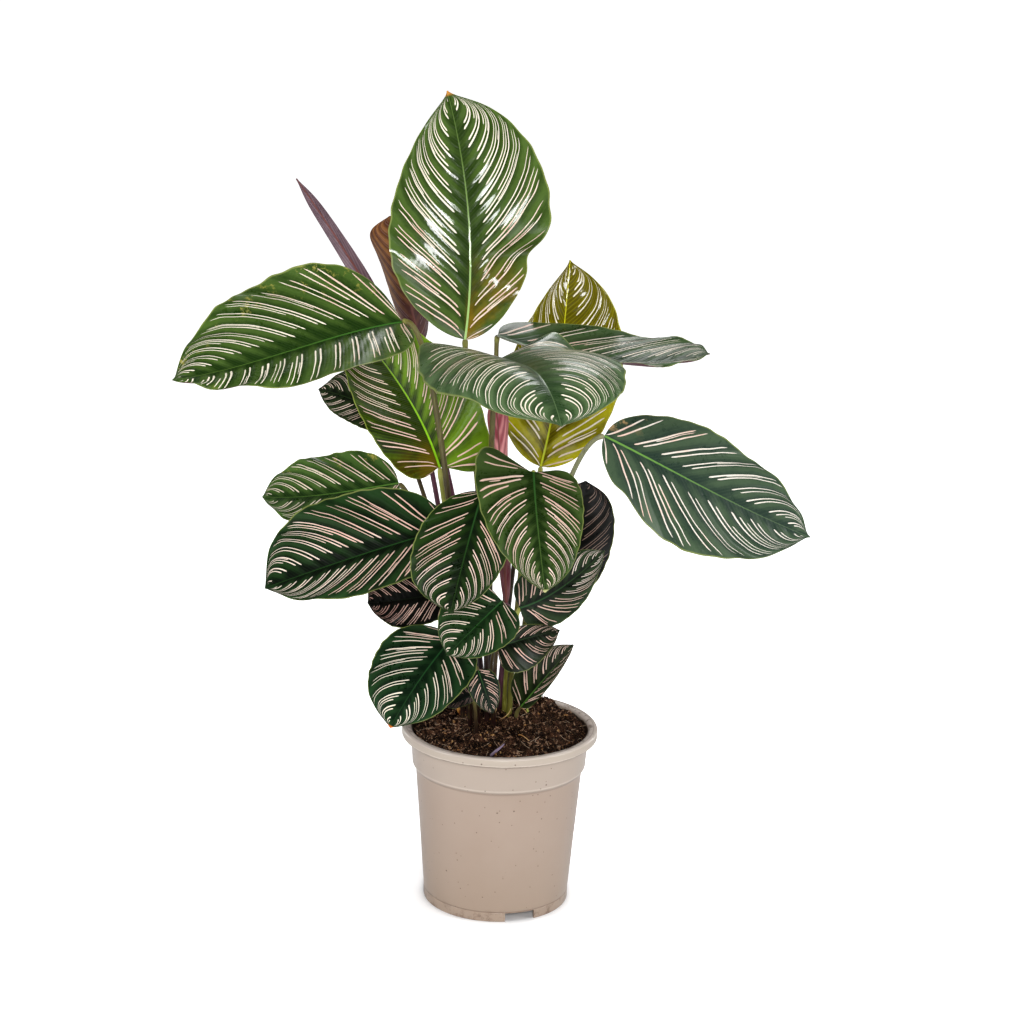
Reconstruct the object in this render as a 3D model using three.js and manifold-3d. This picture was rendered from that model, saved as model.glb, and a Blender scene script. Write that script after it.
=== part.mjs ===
// Potted calathea: pinstriped leaves on thin stalks in a taupe nursery pot.
// Millimetres, +Z up, origin at the middle of the pot's foot on the floor, -Y towards the viewer.
import * as THREE from 'three';
import { mergeVertices } from 'three/addons/utils/BufferGeometryUtils.js';
import Module from 'manifold-3d';

// ---- pot -----------------------------------------------------------------
const POT_SEGMENTS = 56;
const FOOT = { outer: 71.0, inner: 68.6, height: 9.0 };
const PLATE_TOP = 10.6;          // top of the pot's floor
const WALL = 1.3;
const BODY = { low: 71.0, high: 80.8, top: 133 };      // outer radii of the tapered body
const SHOULDER = { radius: 84.2, z: 138.4 };
const BAND = { radius: 86.2, top: 166.4 };
const RIM = { outer: 95.0, low: 167.4, top: 176.0, inner: 85.7, skirt: 1.4 };
const NOTCH = { width: 30, depth: 24, angles: [20.6, 140.6, 260.6] };   // degrees from the front towards +X
const DRAIN = { radius: 5.5, circle: 48, count: 8, reach: 4 };

// ---- soil ----------------------------------------------------------------
const SOIL = { low: 10.9, edge: 166.5, mound: 15, moundX: 12, moundY: 34, spread: 48, clear: 0.3 };
const SOIL_RINGS = [12, 25, 38, 50, 62, 73];
const SOIL_SECTORS = 30;
const CLOD = 1.6;                // height of the clods

// ---- leaves --------------------------------------------------------------
const BLADE_HALF = 0.45;         // half the thickness of a blade
const BLADE_BASE = 2.5;          // half width where the stalk meets the blade
const BLADE_TIP = 0.8;
const LONG_BLADE = 130;
const STALK_ROOT = 160;          // height of the stalks' lower ends in the soil
const STALK_SIDES = 6;
const STALK_STEPS = 9;
const SPROUT_STEPS = 5;
const TIP_CUSP = 0.04;
const TALL = 90;                 // stalks taller than this have left the soil after a third of their steps
const JOIN_GAP = 0.3;
const HOLE_CLEAR = 0.35;

// Blades. One row each:
// name, base, tip, face (rough direction of the upper side), rise of the midrib at 1/3 and 2/3,
// sideways bow at 1/3 and 2/3, half widths [left, right], fold of the halves at the midrib (degrees),
// further curl out to the margin (degrees), turn at base and tip (degrees),
// wave of the margin [height, count, phase], outline powers [left base, left tip, right base, right tip],
// basal lobes [left, right], then dents of the margin [side, station, length, depth, lift].
// Left is the left side for someone who looks at the upper side with the tip up.
const BLADES = [
  ['top', [-43, 30, 549], [-65, 45, 779], [5, -100, 20], [8, 8], [-16, -14], [74, 76], [8, 8], [-12, -12],
    [0, 0], [3, 3, 0], [0.6, 0.85, 0.75, 0.72], [0, 0], [-1, 0.33, 0.06, 0.16, -14],
    [-1, 0.18, 0.16, 0.18, 0]],
  ['left_high', [-100, -20, 573], [-293, -150, 541], [-14, -60, 78], [10, -12], [0, 0], [64, 80], [20, 22],
    [-10, -10], [0, 0], [4, 3, 0], [0.5, 0.9, 0.4, 0.72], [4, 0]],
  ['shade', [-10, -20, 541], [46, -195, 520], [10, -25, 95], [12, 44], [0, 0], [88, 98], [30, 26],
    [-60, -68], [0, 0], [4, 2, 0], [0.35, 0.45, 0.35, 0.45], [36, 44], [-1, 0.06, 0.2, 0, 34],
    [1, 0.04, 0.09, 0, 42]],
  ['right_high', [-13, 58, 548.5], [185, -10, 550], [10, -35, 93], [-22, -26], [0, 0], [60, 44], [4, 28],
    [-10, 0], [0, 0], [3, 3, 0], [0.48, 0.55, 0.45, 0.7], [20, 0]],
  ['lime', [33, 105, 409], [55, 105, 615], [0, -100, 20], [6, 6], [-8, -4], [50, 60], [10, 10], [-12, -12],
    [0, 0], [3, 3, 0], [0.6, 1.05, 0.6, 0.6], [0, 0]],
  ['right', [91, 10, 464], [292, 20, 368], [5, -75, 60], [8, -2], [-4, -6], [54, 66], [8, 8], [-12, -12],
    [0, 0], [4, 3, 0], [0.5, 0.6, 0.7, 0.85], [0, 8], [-1, 0.2, 0.06, 0.1, 0]],
  ['split', [-65, 45, 420], [-153, 45, 560], [10, -100, 20], [8, 8], [-14, -10], [47, 56], [8, 8],
    [-12, -12], [0, 0], [3, 3, 0], [0.45, 0.6, 0.3, 0.6], [26, 36]],
  ['left_dark', [-113, 75, 461], [-185, 80, 486], [0, -70, 60], [8, 8], [0, 0], [24, 36], [8, 8],
    [-12, -12], [0, 0], [2, 2, 0], [0.45, 0.7, 0.45, 0.7], [0, 0]],
  ['left_back', [-104, 45, 403], [-232, 10, 395], [0, -60, 80], [-4, -12], [0, 0], [44, 42], [20, 20],
    [-12, -12], [0, 0], [3, 3, 0], [0.5, 0.5, 0.45, 0.55], [0, 0]],
  ['left_mid', [-54, -5, 373], [-222, -60, 326], [0, -73, 68], [6, 4], [0, 0], [50, 60], [26, 26],
    [-12, -12], [0, 0], [3, 3, 0], [0.5, 0.7, 0.5, 0.45], [0, 6]],
  ['dusk', [-49, 5, 309], [-128, -30, 305], [0, -75, 60], [-8, -6], [0, 0], [30, 32], [14, 14], [-12, -12],
    [0, 0], [2, 2, 0], [0.45, 0.4, 0.45, 0.4], [0, 0]],
  ['low_left', [-45, -40, 278], [-101, -110, 210], [-20, -80, 50], [12, 12], [0, 0], [41, 50], [8, 8],
    [-12, -12], [0, 0], [3, 2, 0], [0.45, 0.7, 0.45, 0.55], [0, 0]],
  ['front_left', [-22, -40, 419], [-48, -90, 316], [-10, -90, 40], [8, 8], [0, 0], [38, 48], [8, 8],
    [-12, -12], [0, 0], [3, 2, 0], [0.45, 0.7, 0.6, 0.45], [0, 0]],
  ['front', [25, -30, 437], [38, -110, 345], [5, -80, 50], [12, 12], [-3, -2], [42, 53], [10, 10],
    [-16, -16], [0, 0], [3, 2, 0], [0.25, 0.5, 0.2, 0.75], [8, 48]],
  ['low_front', [-1, -60, 320], [-50, -110, 282], [0, -90, 40], [6, 6], [0, 0], [31, 37], [8, 8],
    [-12, -12], [0, 0], [2, 2, 0], [0.4, 0.7, 0.45, 0.6], [8, 8]],
  ['low_right', [16, -10, 298], [93, -50, 369], [0, -90, 40], [6, 6], [-10, -8], [30, 26], [8, 8],
    [-12, -12], [0, 0], [2, 2, 0], [0.4, 0.7, 0.45, 0.9], [8, 4]],
  ['right_dark', [47, 45, 290], [76, 45, 411], [0, -100, 30], [6, 6], [-6, -6], [36, 36], [8, 8],
    [-12, -12], [0, 0], [2, 2, 0], [0.45, 0.5, 0.45, 0.4], [0, 0]],
  ['small_right', [-4, -20, 261], [54, -45, 288], [0, -80, 60], [4, 4], [0, 0], [12, 30], [8, 8],
    [-12, -12], [0, 0], [1, 2, 0], [0.45, 0.7, 0.45, 0.7], [0, 0]],
  ['foot_right', [20, 5, 193], [68, -20, 266], [0, -90, 40], [4, 4], [0, 0], [24, 7], [8, 8], [-12, -12],
    [0, 0], [1, 2, 0], [0.45, 0.7, 0.45, 0.7], [0, 0]],
  ['foot_small', [-22, -30, 241], [-7, -40, 202], [0, -90, 40], [3, 3], [0, 0], [13, 13], [8, 8],
    [-12, -12], [0, 0], [1, 2, 0], [0.45, 0.7, 0.45, 0.7], [0, 0]],
  ['foot_dark', [-27, -23, 213], [-52, -31, 204], [0, -75, 65], [2, 2], [0, 0], [6, 20], [10, 10],
    [-12, -12], [0, 0], [1, 2, 0], [0.45, 0.6, 0.4, 0.7], [0, 3]],
  ['spear_left', [-114, 70, 548], [-207, 75, 690], [0, 96, -26], [3, 3], [3, 3], [19, 19], [68, 68], [0, 0],
    [0, 0], [0, 2, 0], [0.6, 1.2, 0.6, 1.2], [0, 0]],
  ['spear_back', [-88, 80, 535], [-119, 90, 655], [0, 96, -26], [3, 3], [0, 0], [36, 36], [30, 30],
    [60, 60], [0, 0], [0, 2, 0], [0.45, 0.35, 0.45, 0.35], [0, 0]],
  ['spear_red', [3, 20, 294], [-12, 30, 496], [0, 100, 0], [0, 0], [0, 0], [22, 22], [30, 30], [100, 100],
    [0, 0], [0, 2, 0], [0.45, 0.5, 0.45, 0.5], [0, 0]],
  ['back_high', [20, 120, 392], [36, 200, 318], [0, 60, 60], [16, 16], [0, 0], [34, 34], [8, 8], [-16, -16],
    [0, 0], [3, 3, 0], [0.45, 0.7, 0.45, 0.7], [0, 0]],
  ['back_mid', [-22, 105, 340], [-44, 175, 280], [0, 60, 60], [14, 14], [0, 0], [30, 30], [8, 8],
    [-16, -16], [0, 0], [3, 3, 0], [0.45, 0.7, 0.45, 0.7], [0, 0]],
  ['back_low', [-20, 100, 262], [-34, 165, 205], [0, 60, 60], [12, 12], [0, 0], [28, 28], [8, 8],
    [-16, -16], [0, 0], [2, 2, 0], [0.45, 0.7, 0.45, 0.7], [0, 0]],
];

// Stalks: name, root in the soil, pull from the root, pull from the blade's base, lower and upper radius.
const STALKS = [
  ['top', [-14, 44], [2, 54, 150], [0, 72, -68], 3.4, 2.4],
  ['left_high', [-22, 22], [-28, -48, 200], [30, 3, 17], 3.2, 2.4],
  ['shade', [-12, 24], [0, -4, 150], [-10, 34, -26], 3.2, 2.4],
  ['right_high', [6, 46], [0, 6, 150], [-4, 14, -50], 3.0, 2.2],
  ['lime', [14, 60], [8, 8, 90], [-4, 8, -60], 3.0, 2.2],
  ['right', [20, 40], [6, 10, 120], [-36, 4, -2], 3.0, 2.2],
  ['split', [-26, 54], [-4, 4, 90], [8, 4, -70], 3.0, 2.2],
  ['left_dark', [-30, 66], [-10, 10, 100], [30, 0, -50], 2.6, 2.0],
  ['left_back', [-36, 42], [-10, 6, 90], [30, 4, -24], 2.6, 2.0],
  ['left_mid', [-30, 30], [-4, -4, 80], [30, 6, -30], 2.8, 2.0],
  ['dusk', [-36, 26], [-4, -4, 50], [20, 6, -30], 2.4, 1.8],
  ['low_left', [-28, 12], [-4, -8, 40], [16, 14, -10], 2.4, 1.8],
  ['front_left', [-12, 12], [-4, -10, 90], [6, 18, -24], 2.6, 2.0],
  ['front', [8, 15], [3, 8, 120], [-3, 26, -6], 2.8, 2.0],
  ['low_front', [-6, 4], [-2, -14, 50], [-4, 14, -26], 2.4, 1.8],
  ['low_right', [4, 26], [-1, -6, 60], [-10, 10, -24], 2.4, 1.8],
  ['right_dark', [24, 52], [10, 4, 50], [-10, 4, -30], 2.4, 1.8],
  ['small_right', [-4, 18], [-2, -8, 40], [-12, 8, -10], 2.0, 1.5],
  ['foot_right', [17, 20], [0, -2, 8], [-8, 4, -10], 2.0, 1.5],
  ['foot_small', [-18, 8], [-4, -10, 30], [-6, 6, 14], 1.8, 1.4],
  ['foot_dark', [-23, -12], [0, -2, 18], [4, 5, -12], 1.8, 1.4],
  ['spear_left', [-38, 56], [-10, 8, 150], [30, 2, -60], 2.8, 2.2],
  ['spear_back', [-16, 66], [-10, 10, 150], [12, 2, -70], 2.8, 2.2],
  ['spear_red', [-2, 32], [0, -4, 40], [2, -2, -40], 3.6, 3.0],
  ['back_high', [-2, 76], [4, 10, 90], [-4, -26, -4], 2.6, 2.0],
  ['back_mid', [-24, 68], [-4, 12, 60], [4, -22, -4], 2.6, 2.0],
  ['back_low', [-10, 72], [0, 6, 50], [3, -18, -4], 2.4, 1.8],
];

// Sprouts: name, start, first pull, second pull, end, radius low, radius high, colour.
const SPROUTS = [
  ['purple', [-10, -62, 160], [0, 0, 8], [-4, 1, -6], [5, -66, 181], 1.9, 0.7, '#5b4653'],
  ['green', [30, 22, 166], [0, 0, 10], [-1, 1, -6], [25, 20, 194], 1.6, 0.6, '#a7b060'],
];

const GREENS = {
  top: '#4f7038', left_high: '#2f5838', shade: '#3d5f4b', right_high: '#3a5f48', lime: '#8f9a3a',
  right: '#2c5040', split: '#4f7433', left_dark: '#24382a', left_back: '#41602f', left_mid: '#2b4a30',
  dusk: '#22332a', low_left: '#2b4b33', front_left: '#2f5134', front: '#38593a', low_front: '#2d4e33',
  low_right: '#2b4a33', right_dark: '#26362c', small_right: '#2c4232', foot_right: '#34502f',
  foot_small: '#30482f', foot_dark: '#1b2620', spear_left: '#6d5560', spear_back: '#5a3536',
  spear_red: '#9c4a52', back_high: '#2f5334', back_mid: '#2c4d31', back_low: '#28442d',
};
const STALK_COLOURS = {
  left_high: '#8a7a3d', right: '#7d8358', split: '#7d7a3a', top: '#6b6a34', lime: '#77793a',
  spear_red: '#6b3138', spear_left: '#5d3a44', spear_back: '#5d3038', shade: '#5a4a30',
};
const STALK_DEFAULT = '#5e5134';

// ---- vectors -------------------------------------------------------------
const V = (a) => new THREE.Vector3(...a);
const rad = THREE.MathUtils.degToRad;

function bezier(p, t) {
  const q = 1 - t;
  return new THREE.Vector3().addScaledVector(p[0], q * q * q).addScaledVector(p[1], 3 * q * q * t)
    .addScaledVector(p[2], 3 * q * t * t).addScaledVector(p[3], t * t * t);
}

function bezierSlope(p, t) {
  const q = 1 - t;
  return new THREE.Vector3().addScaledVector(p[1].clone().sub(p[0]), q * q)
    .addScaledVector(p[2].clone().sub(p[1]), 2 * q * t).addScaledVector(p[3].clone().sub(p[2]), t * t)
    .normalize();
}

// ---- leaf blade ----------------------------------------------------------
function midrib([, base, tip, face, rise, bow]) {
  const b = V(base), chord = V(tip).sub(b), ex = chord.clone().normalize(), f = V(face);
  const ez = f.addScaledVector(ex, -f.dot(ex)).normalize();
  const ey = new THREE.Vector3().crossVectors(ez, ex);
  const inner = (share, i) => b.clone().addScaledVector(chord, share).addScaledVector(ez, rise[i])
    .addScaledVector(ey, bow[i]);
  return { points: [b, inner(1 / 3, 0), inner(2 / 3, 1), V(tip)], ez };
}

// Outline of one half: t^a (1-t)^b with its peak brought to 1.
function outline(t, a, b) {
  const peak = a / (a + b);
  return (t ** a * (1 - t) ** b) / (peak ** a * (1 - peak) ** b) * (1 - Math.exp((t - 1) / TIP_CUSP));
}

// Station s on the midrib at which the side vein through (t, u) leaves it. The vein runs outwards and
// forwards, and the share of the remaining length that it gains grows with its own station.
function veinStation(t, u) {
  const h = 0.8 * u + 0.2 * u * u;
  let low = -0.12, high = 1;
  for (let k = 0; k < 24; k += 1) {
    const s = (low + high) / 2;
    const gain = 0.92 * (1 - Math.exp(-2.2 * (s + 0.12))) * (1 - s);
    if (s + gain * h > t) high = s;
    else low = s;
  }
  return (low + high) / 2;
}

function bladePoint(row, spine, t, w) {
  const [, , , , , , half, fold, curl, turn, wave, shape, lobe] = row;
  const side = w > 0 ? 0 : 1, sign = Math.sign(w), u = Math.abs(w);
  const tangent = bezierSlope(spine.points, t);
  const e0 = new THREE.Vector3().crossVectors(spine.ez, tangent).normalize();
  const n0 = new THREE.Vector3().crossVectors(tangent, e0);
  const roll = rad(turn[0] + (turn[1] - turn[0]) * t);
  const e = e0.clone().multiplyScalar(Math.cos(roll)).addScaledVector(n0, Math.sin(roll));
  const n = n0.clone().multiplyScalar(Math.cos(roll)).addScaledVector(e0, -Math.sin(roll));
  const form = outline(t, shape[2 * side], shape[2 * side + 1]);
  let width = BLADE_BASE * (1 - t) + BLADE_TIP * t + half[side] * form;
  let lift = wave[0] * u * u * Math.sqrt(Math.sin(Math.PI * t))
    * Math.sin(2 * Math.PI * (wave[1] * veinStation(t, u) + wave[2] + 0.31 * side));
  for (const [edge, at, length, depth, up] of row.slice(13)) {
    const near = (edge > 0 ? 0 : 1) === side ? Math.exp(-(((t - at) / length) ** 2)) : 0;
    width *= 1 - depth * near;
    lift += up * near * u * u * form;
  }
  const ease = 1 - t ** 6;
  const f = rad(fold[side]) * ease, k = rad(curl[side]) * ease || 1e-3;
  const out = (Math.sin(f + k * u) - Math.sin(f)) / k * width;
  const up = (Math.cos(f) - Math.cos(f + k * u)) / k * width + lift;
  const back = lobe[side] * u * u * (1 - t) ** 4 * form;
  const at = bezier(spine.points, t).addScaledVector(e, sign * out).addScaledVector(n, up)
    .addScaledVector(tangent, -back);
  const slope = f + k * u;
  const normal = u === 0 ? n.clone().multiplyScalar(1 / Math.cos((rad(fold[0]) + rad(fold[1])) / 2 * ease))
    : n.clone().multiplyScalar(Math.cos(slope)).addScaledVector(e, -sign * Math.sin(slope));
  return { at, normal };
}

function bladeGeometry(row) {
  const spine = midrib(row);
  const length = V(row[1]).distanceTo(V(row[2]));
  const rows = length > LONG_BLADE ? 12 : 9, columns = 6;
  const positions = [], index = [];
  const half = (rows + 1) * (columns + 1);
  for (const face of [1, -1]) {
    for (let i = 0; i <= rows; i += 1) {
      const t = 0.55 * (0.5 - 0.5 * Math.cos((Math.PI * i) / rows)) + (0.45 * i) / rows;
      for (let j = 0; j <= columns; j += 1) {
        const { at, normal } = bladePoint(row, spine, t, (2 * j) / columns - 1);
        positions.push(...at.addScaledVector(normal, face * BLADE_HALF).toArray());
      }
    }
  }
  const id = (face, i, j) => face * half + i * (columns + 1) + j;
  const quad = (a, b, c, d) => index.push(a, b, c, a, c, d);
  for (let i = 0; i < rows; i += 1) {
    for (let j = 0; j < columns; j += 1) {
      quad(id(0, i, j), id(0, i, j + 1), id(0, i + 1, j + 1), id(0, i + 1, j));
      index.push(id(1, i, j), id(1, i + 1, j + 1), id(1, i, j + 1));
      index.push(id(1, i, j), id(1, i + 1, j), id(1, i + 1, j + 1));
    }
    quad(id(0, i, 0), id(0, i + 1, 0), id(1, i + 1, 0), id(1, i, 0));
    quad(id(0, i + 1, columns), id(0, i, columns), id(1, i, columns), id(1, i + 1, columns));
  }
  for (let j = 0; j < columns; j += 1) {
    quad(id(0, 0, j + 1), id(0, 0, j), id(1, 0, j), id(1, 0, j + 1));
    quad(id(0, rows, j), id(0, rows, j + 1), id(1, rows, j + 1), id(1, rows, j));
  }
  return outward(indexed(positions, index));
}

function indexed(positions, index) {
  const geometry = new THREE.BufferGeometry();
  geometry.setAttribute('position', new THREE.Float32BufferAttribute(positions, 3));
  geometry.setIndex(index);
  return geometry;
}

// Turns the faces round when the closed surface was wound inside out.
function outward(geometry) {
  const p = geometry.attributes.position, ix = geometry.index.array;
  const at = (k) => new THREE.Vector3().fromBufferAttribute(p, ix[k]);
  let volume = 0;
  for (let k = 0; k < ix.length; k += 3) volume += at(k).dot(at(k + 1).cross(at(k + 2)));
  if (volume < 0) {
    for (let k = 0; k < ix.length; k += 3) [ix[k + 1], ix[k + 2]] = [ix[k + 2], ix[k + 1]];
  }
  return geometry;
}

// ---- stalks --------------------------------------------------------------
// Tube along a curve from its start to share b, with rings that keep their turn from ring to ring.
const WHOLE_STALK = { b: 1, sides: STALK_SIDES, steps: STALK_STEPS, extra: 0, tail: 0 };

function tube(path, radii, options) {
  const { b, sides, steps, extra, tail } = { ...WHOLE_STALK, ...options };
  const positions = [], index = [];
  let x = new THREE.Vector3(1, 0, 0);
  for (let i = 0; i <= steps; i += 1) {
    const t = (b * i) / steps;
    const centre = bezier(path, t), z = bezierSlope(path, t);
    if (i === 0) centre.addScaledVector(z, -tail);
    x = x.addScaledVector(z, -x.dot(z)).normalize();
    const y = new THREE.Vector3().crossVectors(z, x);
    const r = radii[0] + (radii[1] - radii[0]) * t + extra;
    for (let k = 0; k < sides; k += 1) {
      const turn = (2 * Math.PI * k) / sides;
      positions.push(...centre.clone().addScaledVector(x, r * Math.cos(turn))
        .addScaledVector(y, r * Math.sin(turn)).toArray());
    }
  }
  for (let i = 0; i < steps; i += 1) {
    for (let k = 0; k < sides; k += 1) {
      const l = (k + 1) % sides, p = i * sides, q = p + sides;
      index.push(p + k, p + l, q + l, p + k, q + l, q + k);
    }
  }
  for (let k = 1; k + 1 < sides; k += 1) {
    index.push(0, k + 1, k);
    index.push(steps * sides, steps * sides + k, steps * sides + k + 1);
  }
  return outward(indexed(positions, index));
}

// The stalk stops short of its blade's end by JOIN_GAP, measured from the blade's face or side.
function stalkPath([name, root, low, high, , r1]) {
  const row = BLADES.find((b) => b[0] === name);
  const base = V(row[1]), start = new THREE.Vector3(root[0], root[1], STALK_ROOT);
  const pull = V(high), spine = midrib(row);
  const along = pull.clone().normalize().negate();
  const e = new THREE.Vector3().crossVectors(spine.ez, bezierSlope(spine.points, 0)).normalize();
  const reach = BLADE_HALF * Math.abs(along.dot(spine.ez)) + BLADE_BASE * Math.abs(along.dot(e));
  const end = base.clone().addScaledVector(along, -(JOIN_GAP + reach));
  return [start, start.clone().add(V(low)), base.clone().add(pull), end];
}

// ---- pot's section -------------------------------------------------------
// Half section of the pot, from the middle of the floor's underside round to the middle of its top.
function potProfile() {
  const inner = (outer) => outer - WALL;
  return [
    [0, FOOT.height], [FOOT.inner, FOOT.height],
    [FOOT.inner, 0], [FOOT.outer - 0.4, 0], [FOOT.outer, 0.5], [FOOT.outer, FOOT.height - 0.2],
    [FOOT.outer - 0.5, FOOT.height + 0.4], [BODY.low, PLATE_TOP - 0.2], [BODY.high, BODY.top],
    [BODY.high + 0.9, BODY.top + 2.4], [SHOULDER.radius - 0.8, SHOULDER.z - 1.2],
    [SHOULDER.radius, SHOULDER.z],
    [BAND.radius, BAND.top], [BAND.radius + 0.5, RIM.top - 3], [RIM.outer - RIM.skirt, RIM.top - 3],
    [RIM.outer - RIM.skirt, RIM.low], [RIM.outer, RIM.low], [RIM.outer, RIM.top - 2],
    [RIM.outer - 0.7, RIM.top - 0.6], [RIM.outer - 2.4, RIM.top], [RIM.inner + 2.6, RIM.top - 0.3],
    [RIM.inner + 0.8, RIM.top - 1.1], [RIM.inner, RIM.top - 2.8], [inner(BAND.radius), BAND.top - 1],
    [inner(SHOULDER.radius), SHOULDER.z], [inner(SHOULDER.radius) - 1, SHOULDER.z - 2],
    [inner(BODY.high), BODY.top - 0.5], [inner(BODY.low) + 0.1, PLATE_TOP + 1.2],
    [inner(BODY.low) - 1.4, PLATE_TOP], [0, PLATE_TOP],
  ].map(([r, z]) => new THREE.Vector2(r, z));
}

// ---- soil ----------------------------------------------------------------
function soilHeight(x, y) {
  const d2 = (x - SOIL.moundX) ** 2 + (y - SOIL.moundY) ** 2;
  const clods = Math.sin(0.31 * x + 1.3) * Math.sin(0.27 * y + 0.4) + 0.6 * Math.sin(0.17 * x - 0.23 * y);
  return SOIL.edge + SOIL.mound * Math.exp(-d2 / SOIL.spread ** 2) + CLOD * clods;
}

function soilGeometry() {
  const positions = [], index = [];
  const rings = [];
  const ring = (r, z) => {
    rings.push(positions.length / 3);
    for (let k = 0; k < SOIL_SECTORS; k += 1) {
      const turn = (2 * Math.PI * k) / SOIL_SECTORS, x = r * Math.cos(turn), y = r * Math.sin(turn);
      positions.push(x, y, z === undefined ? soilHeight(x, y) : z);
    }
  };
  // The pot is a polygon of flats, so the soil stays inside the flats' middles.
  const flat = Math.cos(Math.PI / POT_SEGMENTS);
  const fit = (outer) => (outer - WALL) * flat - SOIL.clear;
  positions.push(0, 0, SOIL.low);
  ring(fit(BODY.low) - 1.6, SOIL.low);
  ring(fit(BODY.low), PLATE_TOP + 1.6);
  ring(fit(BODY.high), BODY.top - 0.5);
  ring(fit(SHOULDER.radius) - 0.6, SHOULDER.z + 0.6);
  ring(fit(SHOULDER.radius) + 1.2, 160);
  for (const r of [...SOIL_RINGS].reverse()) ring(r);
  const centre = positions.length / 3;
  positions.push(0, 0, soilHeight(0, 0));
  const next = (k) => (k + 1) % SOIL_SECTORS;
  for (let k = 0; k < SOIL_SECTORS; k += 1) {
    index.push(0, rings[0] + next(k), rings[0] + k);
    index.push(centre, rings.at(-1) + k, rings.at(-1) + next(k));
    for (let i = 0; i + 1 < rings.length; i += 1) {
      const p = rings[i], q = rings[i + 1];
      index.push(p + k, p + next(k), q + next(k), p + k, q + next(k), q + k);
    }
  }
  return outward(indexed(positions, index));
}

// ---- joins and cuts ------------------------------------------------------
const wasm = await Module();
wasm.setup();

function solid(geometry) {
  return new wasm.Manifold(new wasm.Mesh({
    numProp: 3,
    vertProperties: new Float32Array(geometry.attributes.position.array),
    triVerts: new Uint32Array(geometry.index.array),
  }));
}

function fromSolid(body) {
  const mesh = body.getMesh();
  return indexed(Array.from(mesh.vertProperties), Array.from(mesh.triVerts));
}

// Position-only copy with shared vertices and without the flat triangles at the axis.
function welded(geometry) {
  geometry.deleteAttribute('normal');
  geometry.deleteAttribute('uv');
  const merged = mergeVertices(geometry, 1e-4);
  const kept = [], ix = merged.index.array;
  for (let k = 0; k < ix.length; k += 3) {
    const [a, b, c] = ix.slice(k, k + 3);
    if (a !== b && b !== c && c !== a) kept.push(a, b, c);
  }
  merged.setIndex(kept);
  return outward(merged);
}

function potGeometry() {
  const turned = new THREE.LatheGeometry(potProfile(), POT_SEGMENTS).rotateX(Math.PI / 2);
  let body = solid(welded(turned));
  for (const degrees of NOTCH.angles) {
    const cut = new THREE.BoxGeometry(NOTCH.width, NOTCH.depth, FOOT.height)
      .translate(0, -FOOT.outer, FOOT.height / 2 - 0.1).rotateZ(rad(degrees));
    body = body.subtract(solid(welded(cut)));
  }
  const floor = (FOOT.height + PLATE_TOP) / 2;
  const drill = (x, y) => solid(welded(new THREE.CylinderGeometry(DRAIN.radius, DRAIN.radius, DRAIN.reach, 16)
    .rotateX(Math.PI / 2).translate(x, y, floor)));
  body = body.subtract(drill(0, 0));
  for (let k = 0; k < DRAIN.count; k += 1) {
    const turn = (2 * Math.PI * k) / DRAIN.count;
    body = body.subtract(drill(DRAIN.circle * Math.cos(turn), DRAIN.circle * Math.sin(turn)));
  }
  return fromSolid(body);
}

// ---- assembly ------------------------------------------------------------
const group = new THREE.Group();
group.name = 'potted_calathea';
const vessel = new THREE.Group(), leaves = new THREE.Group(), stalks = new THREE.Group();
group.add(vessel, leaves, stalks);

// Each piece is drawn about its own foot point and placed there.
function add(parent, name, geometry, foot, color, roughness) {
  const material = new THREE.MeshStandardMaterial({ color, roughness, metalness: 0 });
  const mesh = new THREE.Mesh(geometry.translate(...foot.clone().negate().toArray()), material);
  mesh.name = name;
  mesh.position.copy(foot);
  parent.add(mesh);
}

const floor = new THREE.Vector3();
add(vessel, 'pot', potGeometry(), floor, '#c8b4a2', 0.5);

let ground = solid(soilGeometry());
function cutHole(path, radii, steps, b) {
  const cutter = tube(path, radii, { b, sides: 8, steps, extra: HOLE_CLEAR, tail: HOLE_CLEAR });
  ground = ground.subtract(solid(cutter));
}

for (const row of BLADES) add(leaves, `blade_${row[0]}`, bladeGeometry(row), V(row[1]), GREENS[row[0]], 0.4);

for (const row of STALKS) {
  const path = stalkPath(row), radii = [row[4], row[5]];
  const buried = path[3].z - STALK_ROOT > TALL ? 3 : STALK_STEPS;
  cutHole(path, radii, buried, buried / STALK_STEPS);
  add(stalks, `stalk_${row[0]}`, tube(path, radii), path[0], STALK_COLOURS[row[0]] || STALK_DEFAULT, 0.5);
}

for (const [name, start, low, high, end, r0, r1, colour] of SPROUTS) {
  const path = [V(start), V(start).add(V(low)), V(end).add(V(high)), V(end)];
  cutHole(path, [r0, r1], SPROUT_STEPS, 1);
  add(stalks, `sprout_${name}`, tube(path, [r0, r1], { steps: SPROUT_STEPS }), path[0], colour, 0.5);
}

add(vessel, 'soil', fromSolid(ground), floor, '#2c1f1a', 0.95);

export default group;
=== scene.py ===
# %% [markdown]
# # A potted calathea
# A house plant with pinstriped leaves in a taupe nursery pot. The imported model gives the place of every
# leaf, stalk and wall, and this lesson makes the fine surfaces that stand for them: waved blades with
# raised veins, round stalks, a smooth pot and crumbly soil. Lengths in the tables are millimetres,
# because that is how a plant is measured, and MM turns them into Blender's metres.

# %% Load the frame
import math

import bpy
import numpy as np
from mathutils import Matrix, Vector


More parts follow.
